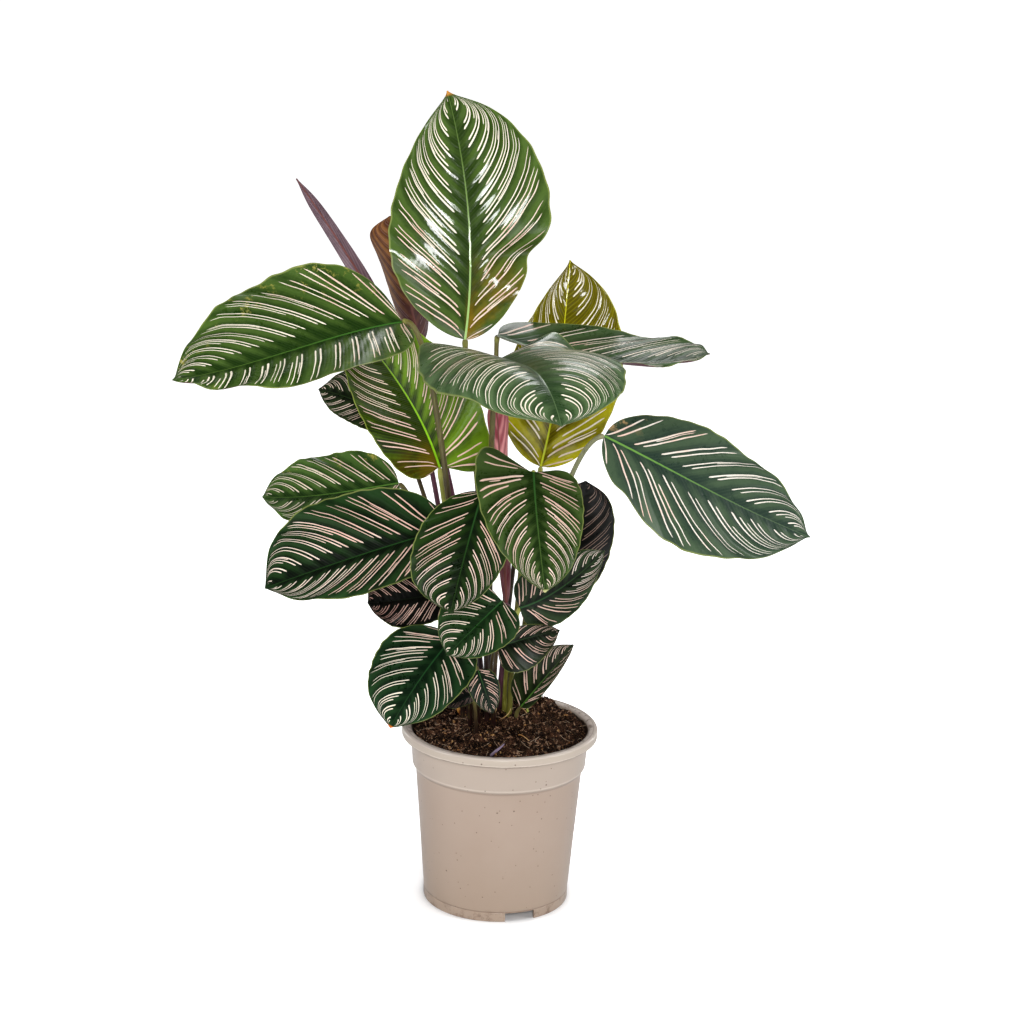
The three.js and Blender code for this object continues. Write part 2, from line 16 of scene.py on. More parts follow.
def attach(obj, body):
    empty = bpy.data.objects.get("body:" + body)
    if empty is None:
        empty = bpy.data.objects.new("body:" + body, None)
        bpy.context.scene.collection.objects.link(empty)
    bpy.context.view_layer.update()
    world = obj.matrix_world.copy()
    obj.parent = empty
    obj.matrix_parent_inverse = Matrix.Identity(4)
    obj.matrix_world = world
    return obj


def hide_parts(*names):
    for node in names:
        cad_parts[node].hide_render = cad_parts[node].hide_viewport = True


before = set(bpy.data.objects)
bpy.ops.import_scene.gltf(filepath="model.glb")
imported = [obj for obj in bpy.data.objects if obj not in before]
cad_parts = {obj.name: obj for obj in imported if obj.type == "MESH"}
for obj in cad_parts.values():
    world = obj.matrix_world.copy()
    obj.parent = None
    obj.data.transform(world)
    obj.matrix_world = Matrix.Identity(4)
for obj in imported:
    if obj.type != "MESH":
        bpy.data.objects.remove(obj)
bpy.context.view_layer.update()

MM = 0.001

# %% [markdown]
# ## The camera
# A studio photo of a plant is taken from some way off with a long lens, a little above the pot and
# looking down on it. A long lens keeps the far leaves nearly as large as the near ones. The camera is
# pitched down and rolled a little about its own line of sight.

# %% Camera
PITCH, ROLL = math.radians(15.22), math.radians(1.64)
EYE = (5.9, -2195.6, 987.3)                     # place of the lens, mm
FOCAL, SENSOR, FARTHEST = 84.375, 36.0, 200.0   # focal length and film width, mm, and the end of sight, m

lens = bpy.data.cameras.new("camera")
lens.lens, lens.sensor_width, lens.clip_end = FOCAL, SENSOR, FARTHEST
camera = bpy.data.objects.new("camera", lens)
camera.location = [v * MM for v in EYE]
camera.rotation_euler = (Matrix.Rotation(math.pi / 2 - PITCH, 3, "X") @ Matrix.Rotation(ROLL, 3, "Z")).to_euler()
bpy.context.scene.collection.objects.link(camera)
bpy.context.scene.camera = camera
print("camera at", tuple(round(v, 3) for v in camera.location))

# %% [markdown]
# ## The studio
# The plant stands on a white floor in a white room. A waxy leaf shows its form by the lamps that it
# mirrors, and in an all-white room it would mirror white everywhere and look grey. So the room and the
# floor are bright only where the camera sees them directly: for every other ray they are dim, and large
# soft lamps in front, at the sides and behind do the lighting. The leaves don't mirror the front and the
# top lamp. A small card in front is mirrored in their place, so the wax keeps its green and gets a few
# crisp gleams. Close to the pot the floor glows less, so that the pot's shadow stays visible under it.

# %% Colours are typed as they look on a screen
def paint(code):
    """Turns "#rrggbb" into Blender's linear colour: each channel c becomes ((c + 0.055) / 1.055) ^ 2.4.

    A very dark channel, up to 0.04045, is divided by 12.92 instead. The fourth number is full cover.
    """
    parts = [int(code[k:k + 2], 16) / 255 for k in (1, 3, 5)]
    return [c / 12.92 if c <= 0.04045 else ((c + 0.055) / 1.055) ** 2.4 for c in parts] + [1.0]


print("taupe in linear light:", [round(c, 3) for c in paint("#c8b4a2")])

# %% Helpers that write node trees
class Wires:
    """Adds nodes to one tree. An input may be a number, a colour or another node's output."""

    def __init__(self, tree):
        self.tree = tree

    def feed(self, socket, value):
        """Links an output to the socket, or else sets the socket's own value."""
        if isinstance(value, bpy.types.NodeSocket):
            self.tree.links.new(value, socket)
        else:
            socket.default_value = value

    def add(self, kind, inputs, output=0, **settings):
        """Makes a node with its settings, feeds its inputs and gives one of its outputs."""
        node = self.tree.nodes.new(kind)
        for key, value in settings.items():
            setattr(node, key, value)
        for key, value in inputs.items():
            self.feed(node.inputs[key], value)
        return node.outputs[output]

    def math(self, operation, *values):
        """One sum, product or other operation on one to three values."""
        return self.add("ShaderNodeMath", dict(enumerate(values)), operation=operation)

    def step(self, value, low, high, to_low=0.0, to_high=1.0):
        """Goes smoothly from to_low to to_high while the value goes from low to high."""
        return self.add("ShaderNodeMapRange", {0: value, 1: low, 2: high, 3: to_low, 4: to_high},
                        interpolation_type="SMOOTHSTEP")

    def near(self, value, level, core, reach, most=1.0):
        """Most while the value is within the core of a level, and smoothly down to 0 at its reach."""
        return self.step(self.math("ABSOLUTE", self.math("SUBTRACT", value, level)), core, reach, most, 0.0)

    def mix(self, factor, a, b):
        """Colour a where the factor is 0, colour b where it is 1."""
        return self.add("ShaderNodeMix", {0: factor, 6: a, 7: b}, 2, data_type="RGBA")

    def attribute(self, name):
        """A value that make_piece stored at the points of the mesh."""
        return self.add("ShaderNodeAttribute", {}, "Fac", attribute_name=name)

    def place(self):
        """Where the point lies, in metres."""
        return self.add("ShaderNodeTexCoord", {}, "Object")

    def noise(self, scale, detail=2.0, rough=0.5, where=None):
        """Cloudy values from 0 to 1: the scale is the number of clouds in a metre."""
        where = self.place() if where is None else where
        return self.add("ShaderNodeTexNoise", {"Vector": where, "Scale": scale, "Detail": detail,
                                               "Roughness": rough})

    def bump(self, shader, height, strength, distance):
        """Tilts the shader's surface by the slope of a height that is measured in the distance, metres."""
        self.feed(shader.inputs["Normal"], self.add("ShaderNodeBump", {
            "Height": height, "Strength": strength, "Distance": distance}))


def new_material(name):
    """A node material with one Principled shader: gives the material, its wires and the shader node."""
    material = bpy.data.materials.new(name)
    material.use_nodes = True
    tree = material.node_tree
    tree.nodes.clear()
    shader = tree.nodes.new("ShaderNodeBsdfPrincipled")
    out = tree.nodes.new("ShaderNodeOutputMaterial")
    tree.links.new(shader.outputs[0], out.inputs[0])
    return material, Wires(tree), shader


print("node helpers ready")

# %% Floor, room and lamps
FLOOR, FLOOR_BACK = 14.0, 42.0        # half the floor's width, and how far it runs back, metres
GLOWS = [(0.066, 0.08, 0.42), (0.07, 0.17, 0.58)]   # from, to (metres from the middle), gain in glow
ROOM_DIM = 0.1                        # how bright the room is for every ray but the camera's

floor_mesh = bpy.data.meshes.new("studio_floor")
floor_mesh.from_pydata([(-FLOOR, -FLOOR, 0), (FLOOR, -FLOOR, 0), (FLOOR, FLOOR_BACK, 0), (-FLOOR, FLOOR_BACK, 0)],
                       [], [(0, 1, 2, 3)])
studio_floor = bpy.data.objects.new("studio_floor", floor_mesh)
bpy.context.scene.collection.objects.link(studio_floor)
white, wires, shader = new_material("white_floor")
wires.feed(shader.inputs["Base Color"], wires.mix(wires.noise(0.7), paint("#eeeef0"), paint("#f4f4f4")))
shader.inputs["Roughness"].default_value = 0.7
shader.inputs["Specular IOR Level"].default_value = 0.2
shader.inputs["Emission Color"].default_value = (1.0, 1.0, 1.0, 1.0)
seen = wires.add("ShaderNodeLightPath", {}, "Is Camera Ray")
away = wires.add("ShaderNodeVectorMath", {0: wires.place()}, "Value", operation="LENGTH")
glow = wires.math("ADD", *(wires.step(away, near, far, 0.0, gain) for near, far, gain in GLOWS))
wires.feed(shader.inputs["Emission Strength"], wires.math("MULTIPLY", seen, glow))
floor_mesh.materials.append(white)

room = bpy.data.worlds.new("white_room")
room.use_nodes = True
backdrop = room.node_tree.nodes["Background"]
backdrop.inputs[0].default_value = (1.0, 1.0, 1.0, 1.0)
around = Wires(room.node_tree)
seen = around.add("ShaderNodeLightPath", {}, "Is Camera Ray")
around.feed(backdrop.inputs[1], around.math("MULTIPLY_ADD", seen, 1.0 - ROOM_DIM, ROOM_DIM))
bpy.context.scene.world = room
bpy.context.scene.view_settings.view_transform = "Standard"

LAMPS = [             # name, place, aims at, width and height, watts, seen in gloss
    ("front_box", (0.1, -2.6, 1.28), (0.0, 0.0, 0.45), (0.6, 0.6), 43, False),
    ("gloss_card", (0.28, -2.6, 0.48), (0.0, 0.0, 0.48), (0.56, 0.22), 9, True),
    ("left_box", (-2.2, -0.9, 1.1), (0.0, 0.0, 0.4), (0.6, 1.4), 20, True),
    ("right_box", (2.3, -0.5, 1.3), (0.0, 0.0, 0.45), (0.5, 1.4), 22, True),
    ("back_box", (0.2, 2.0, 2.0), (0.0, 0.0, 0.5), (1.2, 0.7), 15, True),
    ("top_box", (0.1, -0.7, 2.5), (0.0, 0.0, 0.5), (0.9, 0.9), 13, False),
    ("left_rim", (-1.6, 1.5, 0.5), (0.0, 0.0, 0.2), (0.25, 1.0), 7, True),
    ("right_rim", (1.6, 1.5, 0.5), (0.0, 0.0, 0.2), (0.25, 1.0), 7, True),
]


def lamp(name, place, aim, size, watts, shine):
    """A rectangular soft lamp whose face looks from its place to the point it aims at."""
    data = bpy.data.lights.new(name, "AREA")
    data.shape, data.size, data.size_y, data.energy = "RECTANGLE", size[0], size[1], watts
    box = bpy.data.objects.new(name, data)
    box.location = place
    way = Vector(aim) - Vector(place)
    box.rotation_euler = way.to_track_quat("-Z", "Y").to_euler()
    box.visible_glossy = shine
    bpy.context.scene.collection.objects.link(box)


for row in LAMPS:
    lamp(*row)
print("lamps:", ", ".join(row[0] for row in LAMPS))

# %% [markdown]
# ## From arrays to a mesh
# Every piece below is a grid of points worked out with numpy. Three short functions turn such grids into
# Blender meshes: one joins the points of a grid into quads, one closes the ends of a tube, and the last
# writes points, faces and the values that the materials read from each point.

# %% Grids and meshes
def grid_faces(rows, columns, first=0, wrap=False, flip=False):
    """Quads of a grid that is stored row by row. With wrap, the last column joins the first one."""
    i, j = np.meshgrid(np.arange(rows - 1), np.arange(columns if wrap else columns - 1), indexing="ij")
    k = (j + 1) % columns
    quads = np.stack([i * columns + j, i * columns + k, (i + 1) * columns + k, (i + 1) * columns + j], -1)
    quads = quads.reshape(-1, 4) + first
    return quads[:, ::-1] if flip else quads


def end_fans(rings, sides, flip=False):
    """Triangles from the first ring, and from the last one, to a middle point each: the grid's next two points."""
    k, count = np.arange(sides), rings * sides
    ahead = (k + 1) % sides
    first = np.stack([np.full(sides, count), ahead, k], -1)
    last = np.stack([np.full(sides, count + 1), count - sides + k, count - sides + ahead], -1)
    return [first[:, ::-1], last[:, ::-1]] if flip else [first, last]


def make_piece(name, points, faces, material, nodes=(), values=None, sharp=40.0):
    """Writes points (millimetres) and faces into a new object, with one named value a point for the materials."""
    mesh = bpy.data.meshes.new(name)
    points = np.ascontiguousarray(points, dtype=np.float32) * np.float32(MM)
    sizes = np.concatenate([np.full(len(f), f.shape[1]) for f in faces])
    corners = np.concatenate([f.reshape(-1) for f in faces]).astype(np.int32)
    mesh.vertices.add(len(points))
    mesh.vertices.foreach_set("co", points.reshape(-1))
    mesh.loops.add(len(corners))
    mesh.loops.foreach_set("vertex_index", corners)
    mesh.polygons.add(len(sizes))
    mesh.polygons.foreach_set("loop_start", np.concatenate([[0], np.cumsum(sizes)[:-1]]).astype(np.int32))
    mesh.polygons.foreach_set("use_smooth", np.ones(len(sizes), dtype=bool))
    mesh.update(calc_edges=True)
    mesh.validate()
    for key, value in (values or {}).items():
        layer = mesh.attributes.new(key, "FLOAT", "POINT")
        layer.data.foreach_set("value", np.ascontiguousarray(value, dtype=np.float32).reshape(-1))
    if sharp:
        mesh.set_sharp_from_angle(angle=math.radians(sharp))
    mesh.materials.append(material)
    piece = bpy.data.objects.new(name, mesh)
    bpy.context.scene.collection.objects.link(piece)
    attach(piece, "root")
    if nodes:
        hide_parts(*nodes)
    return piece


print("a 3 by 4 grid has", len(grid_faces(3, 4)), "quads, and 4 sides are closed by",
      len(end_fans(3, 4)[0]), "triangles")

# %% [markdown]
# ## How a calathea leaf is built
# A blade grows along a midrib, and its side veins leave the midrib at a slant and bend towards the tip.
# The two halves fold up a little along the midrib and the margin waves. So a blade is a surface over two
# numbers: t runs along the midrib from the base (0) to the tip (1), and w runs across from the right
# margin (-1) over the midrib (0) to the left margin (1). Each leaf of this plant is one row of measures.

# %% The leaves, measured one by one
# name, base, tip, face (rough direction of the upper side), rise of the midrib at 1/3 and 2/3, sideways
# bow there, half widths [left, right], fold of the halves (degrees), further curl (degrees), wave [height,
# count, phase], outline powers [left base, left tip, right base, right tip], basal lobes [left, right],
# then dents [side, station, length, depth, lift].
BLADES = [
    ["top", [-43, 30, 549], [-65, 45, 779], [5, -100, 20], [8, 8], [-16, -14], [74, 76], [8, 8], [-12, -12],
     [3, 3, 0], [0.6, 0.85, 0.75, 0.72], [0, 0], [-1, 0.33, 0.06, 0.16, -14], [-1, 0.18, 0.16, 0.18, 0]],
    ["left_high", [-100, -20, 573], [-293, -150, 541], [-14, -60, 78], [10, -12], [0, 0], [64, 80], [20, 22],
     [-10, -10], [4, 3, 0], [0.5, 0.9, 0.4, 0.72], [4, 0]],
    ["shade", [-10, -20, 541], [46, -195, 520], [10, -25, 95], [12, 44], [0, 0], [88, 98], [30, 26], [-60, -68],
     [4, 2, 0], [0.35, 0.45, 0.35, 0.45], [36, 44], [-1, 0.06, 0.2, 0, 34], [1, 0.04, 0.09, 0, 42]],
    ["right_high", [-13, 58, 548.5], [185, -10, 550], [10, -35, 93], [-22, -26], [0, 0], [60, 44], [4, 28],
     [-10, 0], [3, 3, 0], [0.48, 0.55, 0.45, 0.7], [20, 0]],
    ["lime", [33, 105, 409], [55, 105, 615], [0, -100, 20], [6, 6], [-8, -4], [50, 60], [10, 10], [-12, -12],
     [3, 3, 0], [0.6, 1.05, 0.6, 0.6], [0, 0]],
    ["right", [91, 10, 464], [292, 20, 368], [5, -75, 60], [8, -2], [-4, -6], [54, 66], [8, 8], [-12, -12],
     [4, 3, 0], [0.5, 0.6, 0.7, 0.85], [0, 8], [-1, 0.2, 0.06, 0.1, 0]],
    ["split", [-65, 45, 420], [-153, 45, 560], [10, -100, 20], [8, 8], [-14, -10], [47, 56], [8, 8], [-12, -12],
     [3, 3, 0], [0.45, 0.6, 0.3, 0.6], [26, 36]],
    ["left_dark", [-113, 75, 461], [-185, 80, 486], [0, -70, 60], [8, 8], [0, 0], [24, 36], [8, 8], [-12, -12],
     [2, 2, 0], [0.45, 0.7, 0.45, 0.7], [0, 0]],
    ["left_back", [-104, 45, 403], [-232, 10, 395], [0, -60, 80], [-4, -12], [0, 0], [44, 42], [20, 20],
     [-12, -12], [3, 3, 0], [0.5, 0.5, 0.45, 0.55], [0, 0]],
    ["left_mid", [-54, -5, 373], [-222, -60, 326], [0, -73, 68], [6, 4], [0, 0], [50, 60], [26, 26], [-12, -12],
     [3, 3, 0], [0.5, 0.7, 0.5, 0.45], [0, 6]],
    ["dusk", [-49, 5, 309], [-128, -30, 305], [0, -75, 60], [-8, -6], [0, 0], [30, 32], [14, 14], [-12, -12],
     [2, 2, 0], [0.45, 0.4, 0.45, 0.4], [0, 0]],
    ["low_left", [-45, -40, 278], [-101, -110, 210], [-20, -80, 50], [12, 12], [0, 0], [41, 50], [8, 8],
     [-12, -12], [3, 2, 0], [0.45, 0.7, 0.45, 0.55], [0, 0]],
    ["front_left", [-22, -40, 419], [-48, -90, 316], [-10, -90, 40], [8, 8], [0, 0], [38, 48], [8, 8],
     [-12, -12], [3, 2, 0], [0.45, 0.7, 0.6, 0.45], [0, 0]],
    ["front", [25, -30, 437], [38, -110, 345], [5, -80, 50], [12, 12], [-3, -2], [42, 53], [10, 10], [-16, -16],
     [3, 2, 0], [0.25, 0.5, 0.2, 0.75], [8, 48]],
    ["low_front", [-1, -60, 320], [-50, -110, 282], [0, -90, 40], [6, 6], [0, 0], [31, 37], [8, 8], [-12, -12],
     [2, 2, 0], [0.4, 0.7, 0.45, 0.6], [8, 8]],
    ["low_right", [16, -10, 298], [93, -50, 369], [0, -90, 40], [6, 6], [-10, -8], [30, 26], [8, 8], [-12, -12],
     [2, 2, 0], [0.4, 0.7, 0.45, 0.9], [8, 4]],
    ["right_dark", [47, 45, 290], [76, 45, 411], [0, -100, 30], [6, 6], [-6, -6], [36, 36], [8, 8], [-12, -12],
     [2, 2, 0], [0.45, 0.5, 0.45, 0.4], [0, 0]],
    ["small_right", [-4, -20, 261], [54, -45, 288], [0, -80, 60], [4, 4], [0, 0], [12, 30], [8, 8], [-12, -12],
     [1, 2, 0], [0.45, 0.7, 0.45, 0.7], [0, 0]],
    ["foot_right", [20, 5, 193], [68, -20, 266], [0, -90, 40], [4, 4], [0, 0], [24, 7], [8, 8], [-12, -12],
     [1, 2, 0], [0.45, 0.7, 0.45, 0.7], [0, 0]],
    ["foot_small", [-22, -30, 241], [-7, -40, 202], [0, -90, 40], [3, 3], [0, 0], [13, 13], [8, 8], [-12, -12],
     [1, 2, 0], [0.45, 0.7, 0.45, 0.7], [0, 0]],
    ["foot_dark", [-27, -23, 213], [-52, -31, 204], [0, -75, 65], [2, 2], [0, 0], [6, 20], [10, 10], [-12, -12],
     [1, 2, 0], [0.45, 0.6, 0.4, 0.7], [0, 3]],
    ["spear_left", [-114, 70, 548], [-207, 75, 690], [0, 96, -26], [3, 3], [3, 3], [19, 19], [68, 68], [0, 0],
     [0, 2, 0], [0.6, 1.2, 0.6, 1.2], [0, 0]],
    ["spear_back", [-88, 80, 535], [-119, 90, 655], [0, 96, -26], [3, 3], [0, 0], [36, 36], [30, 30], [60, 60],
     [0, 2, 0], [0.45, 0.35, 0.45, 0.35], [0, 0]],
    ["spear_red", [3, 20, 294], [-12, 30, 496], [0, 100, 0], [0, 0], [0, 0], [22, 22], [30, 30], [100, 100],
     [0, 2, 0], [0.45, 0.5, 0.45, 0.5], [0, 0]],
    ["back_high", [20, 120, 392], [36, 200, 318], [0, 60, 60], [16, 16], [0, 0], [34, 34], [8, 8], [-16, -16],
     [3, 3, 0], [0.45, 0.7, 0.45, 0.7], [0, 0]],
    ["back_mid", [-22, 105, 340], [-44, 175, 280], [0, 60, 60], [14, 14], [0, 0], [30, 30], [8, 8], [-16, -16],
     [3, 3, 0], [0.45, 0.7, 0.45, 0.7], [0, 0]],
    ["back_low", [-20, 100, 262], [-34, 165, 205], [0, 60, 60], [12, 12], [0, 0], [28, 28], [8, 8], [-16, -16],
     [2, 2, 0], [0.45, 0.7, 0.45, 0.7], [0, 0]],
]
MEASURES = ("name", "base", "tip", "face", "rise", "bow", "half", "fold", "curl", "wave", "shape", "lobe")
leaves = {row[0]: dict(zip(MEASURES, row), dents=row[12:]) for row in BLADES}
print(len(leaves), "leaves; the longest midrib is",
      round(max(math.dist(leaf["base"], leaf["tip"]) for leaf in leaves.values())), "mm")

# %% [markdown]
# ## The midrib and the frame that travels along it
# The midrib is a smooth curve between base and tip, lifted and bowed at one third and two thirds. At each
# station three directions are kept: along the midrib, across the blade and out of its upper side.

# %% Midrib
def cubic(p, t):
    """Cubic Bezier curve: four control points weighted by q^3, 3 q^2 t, 3 q t^2 and t^3, with q = 1 - t."""
    q, t = 1 - t[:, None], t[:, None]
    return q**3 * p[0] + 3 * q * q * t * p[1] + 3 * q * t * t * p[2] + t**3 * p[3]


def cubic_slope(p, t):
    """Unit tangent of the curve: the control points' differences weighted by q^2, 2 q t and t^2."""
    q, t = 1 - t[:, None], t[:, None]
    d = q * q * (p[1] - p[0]) + 2 * q * t * (p[2] - p[1]) + t * t * (p[3] - p[2])
    return d / np.linalg.norm(d, axis=1, keepdims=True)


def midrib(leaf, t):
    """Points of the midrib, and the directions along it, across the blade and out of its upper side.

    Rise and bow shift the curve's two inner control points, which stand at one and two thirds.
    """
    base, tip, face = (np.array(leaf[key], float) for key in ("base", "tip", "face"))
    chord = tip - base
    ex = chord / np.linalg.norm(chord)
    ez = face - face.dot(ex) * ex
    ez /= np.linalg.norm(ez)
    ey = np.cross(ez, ex)
    pulls = [base + chord * share + ez * rise + ey * bow
             for share, rise, bow in zip((1 / 3, 2 / 3), leaf["rise"], leaf["bow"])]
    control = np.array([base, *pulls, tip])
    along = cubic_slope(control, t)
    across = np.cross(ez[None], along)
    across /= np.linalg.norm(across, axis=1, keepdims=True)
    return cubic(control, t), along, across, np.cross(along, across)


print("the middle of the top leaf's midrib:", midrib(leaves["top"], np.array([0.5]))[0].round(1), "mm")

# %% [markdown]
# ## Side veins
# All markings of the leaf follow its side veins, so each point needs to know which vein it lies on. The
# vein that leaves the midrib at station s runs outwards and forwards, and gains a share of the length that
# is left. The station is found by halving an interval 24 times, for all points at once.

# %% Which vein a point lies on
FIRST_VEIN, SPREAD = -0.12, 2.2   # station of the lowest vein, and how soon the next ones slant fully
HALVINGS = 24


def vein_station(t, u, sweep=0.92, power=1.0):
    """Station s with t = s + sweep (1 - exp(-SPREAD (s - FIRST_VEIN))) (1 - s)^power h, h = 0.8 u + 0.2 u^2."""
    h = 0.8 * u + 0.2 * u**2
    low, high = np.full(np.shape(h + t), FIRST_VEIN), np.ones(np.shape(h + t))
    for _ in range(HALVINGS):
        s = (low + high) / 2
        past = s + sweep * (1 - np.exp(-SPREAD * (s - FIRST_VEIN))) * (1 - s) ** power * h > t
        low, high = np.where(past, low, s), np.where(past, s, high)
    return (low + high) / 2


middle = vein_station(np.array([0.5]), np.array([0.5]))
print("the vein at mid length and half width leaves the midrib at", middle.round(3))

# %% [markdown]
# ## The blade's surface
# Each half is a strip that starts at the midrib, rises with the fold and curls over towards the margin.
# A real blade is also quilted: it swells between its side veins. That relief is small, but it is what
# breaks the lamp's mirror image into bands, so it is made as true geometry.

# %% Blade surface
BASE_HALF, TIP_HALF, CUSP = 2.5, 0.8, 0.04   # half width that is added at base and tip, mm; length of the point
QUILT = ((14, 0.34), (23, 0.2))              # swellings between base and tip, and their height, mm
RIPPLES, RIPPLE_SHARE = (7, 11), 0.006       # ripples along the margin, and their share of the width
SHIFT_RIGHT = 0.31                           # how far the right half's waves are shifted, in waves
STRAIGHT = 1e-3                              # the least curl, radians, so that it can be divided by


def outline(t, a, b):
    """Half width of the blade along t: t^a (1 - t)^b with its peak brought to 1, times 1 - exp((t - 1) / CUSP).

    The last factor is 1 almost everywhere and draws the tip out to a point.
    """
    peak = a / (a + b)
    return t**a * (1 - t) ** b / (peak**a * (1 - peak) ** b) * (1 - np.exp((t - 1) / CUSP))


def blade_surface(leaf, t, w, relief, seed):
    """Centre surface of a blade over t and w, its normals, the vein stations and the distance from the midrib.

    The half width follows the outline. Out from the midrib the strip has slope fold + curl u, so its
    width and height are the integrals of cosine and sine of that slope. Waves, dents and the quilting
    between the veins lift it, and the basal lobes pull the margin back past the stalk.
    """
    rib, along, across, out = (a[:, None, :] for a in midrib(leaf, t))
    T, W = np.meshgrid(t, w, indexing="ij")
    U, left = np.abs(W), W > 0
    pick = lambda pair: np.where(left, pair[0], pair[1])
    form = np.where(left, outline(T, *leaf["shape"][:2]), outline(T, *leaf["shape"][2:]))
    width = BASE_HALF * (1 - T) + TIP_HALF * T + pick(leaf["half"]) * form
    s = vein_station(T, U)
    height, count, phase = leaf["wave"]
    turns = count * s + phase + SHIFT_RIGHT * ~left
    lift = height * U**2 * np.sqrt(np.sin(np.pi * T)) * np.sin(2 * np.pi * turns)
    for side, station, length, depth, up in leaf["dents"]:
        near = np.exp(-(((T - station) / length) ** 2)) * (left == (side > 0))
        width, lift = width * (1 - depth * near), lift + up * near * U**2 * form
    draw = np.random.default_rng(seed)
    for waves, size in QUILT:
        shift = draw.uniform(0, 1, 2)
        swell = np.sin(2 * np.pi * (waves * s + pick(shift))) * np.minimum(1, 6 * U) * (1 - 0.5 * U)
        lift = lift + relief * size * swell * np.sqrt(np.sin(np.pi * T))
    slow, quick = draw.uniform(0, 1, 2)[0], draw.uniform()
    edge = np.sin(2 * np.pi * (RIPPLES[0] * T + slow)) + np.sin(2 * np.pi * (RIPPLES[1] * T + quick))
    width = width * (1 + RIPPLE_SHARE * relief * edge * U)
    ease = 1 - T**6
    fold, curl = np.radians(pick(leaf["fold"])) * ease, np.radians(pick(leaf["curl"])) * ease
    curl = np.where(np.abs(curl) < STRAIGHT, STRAIGHT, curl)
    slope = fold + curl * U
    reach = (np.sin(slope) - np.sin(fold)) / curl * width
    rise = (np.cos(fold) - np.cos(slope)) / curl * width + lift
    back = pick(leaf["lobe"]) * U**2 * (1 - T) ** 4 * form
    sign = np.sign(W)
    points = rib - back[..., None] * along + (sign * reach)[..., None] * across + rise[..., None] * out
    normals = np.cos(slope)[..., None] * out - (sign * np.sin(slope))[..., None] * across
    return points, normals, s, width * U


middle_share = outline(0.5, *leaves["front"]["shape"][:2])
print("at mid length the front leaf's left half has", round(float(middle_share), 2), "of its full width")

# %% [markdown]
# ## A blade with two faces
# The blade is a closed skin: an upper and a lower face a fraction of a millimetre apart, thinner towards
# the margin, with the midrib standing out underneath. The two faces share nothing but a narrow edge, so
# their colours stay crisp there.

# %% Blade mesh
LONG = 130                              # blades longer than this get the fine grid, mm
FINE, COARSE = (150, 24), (104, 18)     # rows along the blade, and columns on each half
CLOSE_ENDS, EVEN = 0.55, 0.45           # shares of cosine spacing and of even spacing in the rows
CLOSE_RIB = 1.25                        # power that draws the columns together beside the midrib
RIB = (2.3, 0.7)                        # width of the midrib at base and tip, mm
FULL_RIB, LEAST_RIB = 190, 0.25         # shorter blades have a finer midrib: length / FULL_RIB + LEAST_RIB
RIDGE_ABOVE, RIDGE_BELOW, RIDGE_HALF = 0.12, 0.5, 0.55   # its ridge: mm above, shares of RIB below and across
MARGIN_THICK, MIDDLE_MORE = 0.16, 0.16  # half the thickness at the margin, and what the middle adds, mm
STRIPE_POWER = 0.75                     # near the tip the stripes run further forwards than the quilting


def blade_piece(name, material, seed, relief, sweep):
    """Offsets the centre surface both ways along its normal and joins the faces round the margin.

    The rows are closer together at base and tip, the columns beside the midrib. The stripes' own
    stations are stored at every point, with a sweep for the left half and one for the right half.
    """
    leaf = leaves[name]
    length = math.dist(leaf["base"], leaf["tip"])
    rows, half = FINE if length > LONG else COARSE
    i = np.linspace(0, 1, rows)
    t = CLOSE_ENDS * (0.5 - 0.5 * np.cos(np.pi * i)) + EVEN * i
    x = np.linspace(-1, 1, 2 * half + 1)
    w = np.sign(x) * np.abs(x) ** CLOSE_RIB
    points, normals, s, off = blade_surface(leaf, t, w, relief, seed)
    rib = (RIB[0] + (RIB[1] - RIB[0]) * t)[:, None] * min(1.0, length / FULL_RIB + LEAST_RIB)
    ridge = np.exp(-((off / (RIDGE_HALF * rib)) ** 2))
    thick = MARGIN_THICK + MIDDLE_MORE * (1 - np.abs(w)[None, :] ** 4) + 0 * s
    upper = points + normals * (thick + RIDGE_ABOVE * ridge)[..., None]
    lower = points - normals * (thick + RIDGE_BELOW * rib * ridge)[..., None]
    columns = len(w)
    n = rows * columns
    ring = np.concatenate([np.arange(columns), np.arange(1, rows) * columns + columns - 1,
                           (rows - 1) * columns + np.arange(columns - 2, -1, -1),
                           np.arange(rows - 2, 0, -1) * columns])
    ahead = np.roll(ring, -1)
    margin = np.stack([ring, ring + n, ahead + n, ahead], -1)
    faces = [grid_faces(rows, columns, flip=True), grid_faces(rows, columns, n), margin[:, ::-1]]
    both = lambda a: np.concatenate([a.reshape(-1), a.reshape(-1)])
    drawn = vein_station(*np.meshgrid(t, np.abs(w), indexing="ij"), np.where(w > 0, *sweep), STRIPE_POWER)
    values = {"station": both(drawn), "side": both(w[None, :] + 0 * s), "along": both(t[:, None] + 0 * s),
              "rib": both(off / rib), "under": np.repeat([0.0, 1.0], n)}
    all_points = np.concatenate([upper.reshape(-1, 3), lower.reshape(-1, 3)])
    make_piece(f"leaf_{name}", all_points, faces, material, [f"blade_{name}"], values, sharp=55)


print("a blade has", 2 * FINE[0] * (2 * FINE[1] + 1), "or", 2 * COARSE[0] * (2 * COARSE[1] + 1), "points")

# %% [markdown]
# ## Pinstripes
# The upper side carries pairs of fine pale lines that follow the side veins. They start blunt a little
# way from the midrib, taper outwards and stop short of the margin, and here and there a thinner thread
# runs beside them. The stripes are drawn by the material: the vein station is cut into cells, one cell a
# pair, and each cell draws its own random starts, ends and gaps.

# %% A node group that draws the stripes
BLUNT, FADE = 0.035, 0.09    # shares of the half blade in which a line swells and thins out
SOFT, LEAST = 0.004, 0.012   # softness of a line's edge and least half width drawn in full, in cells


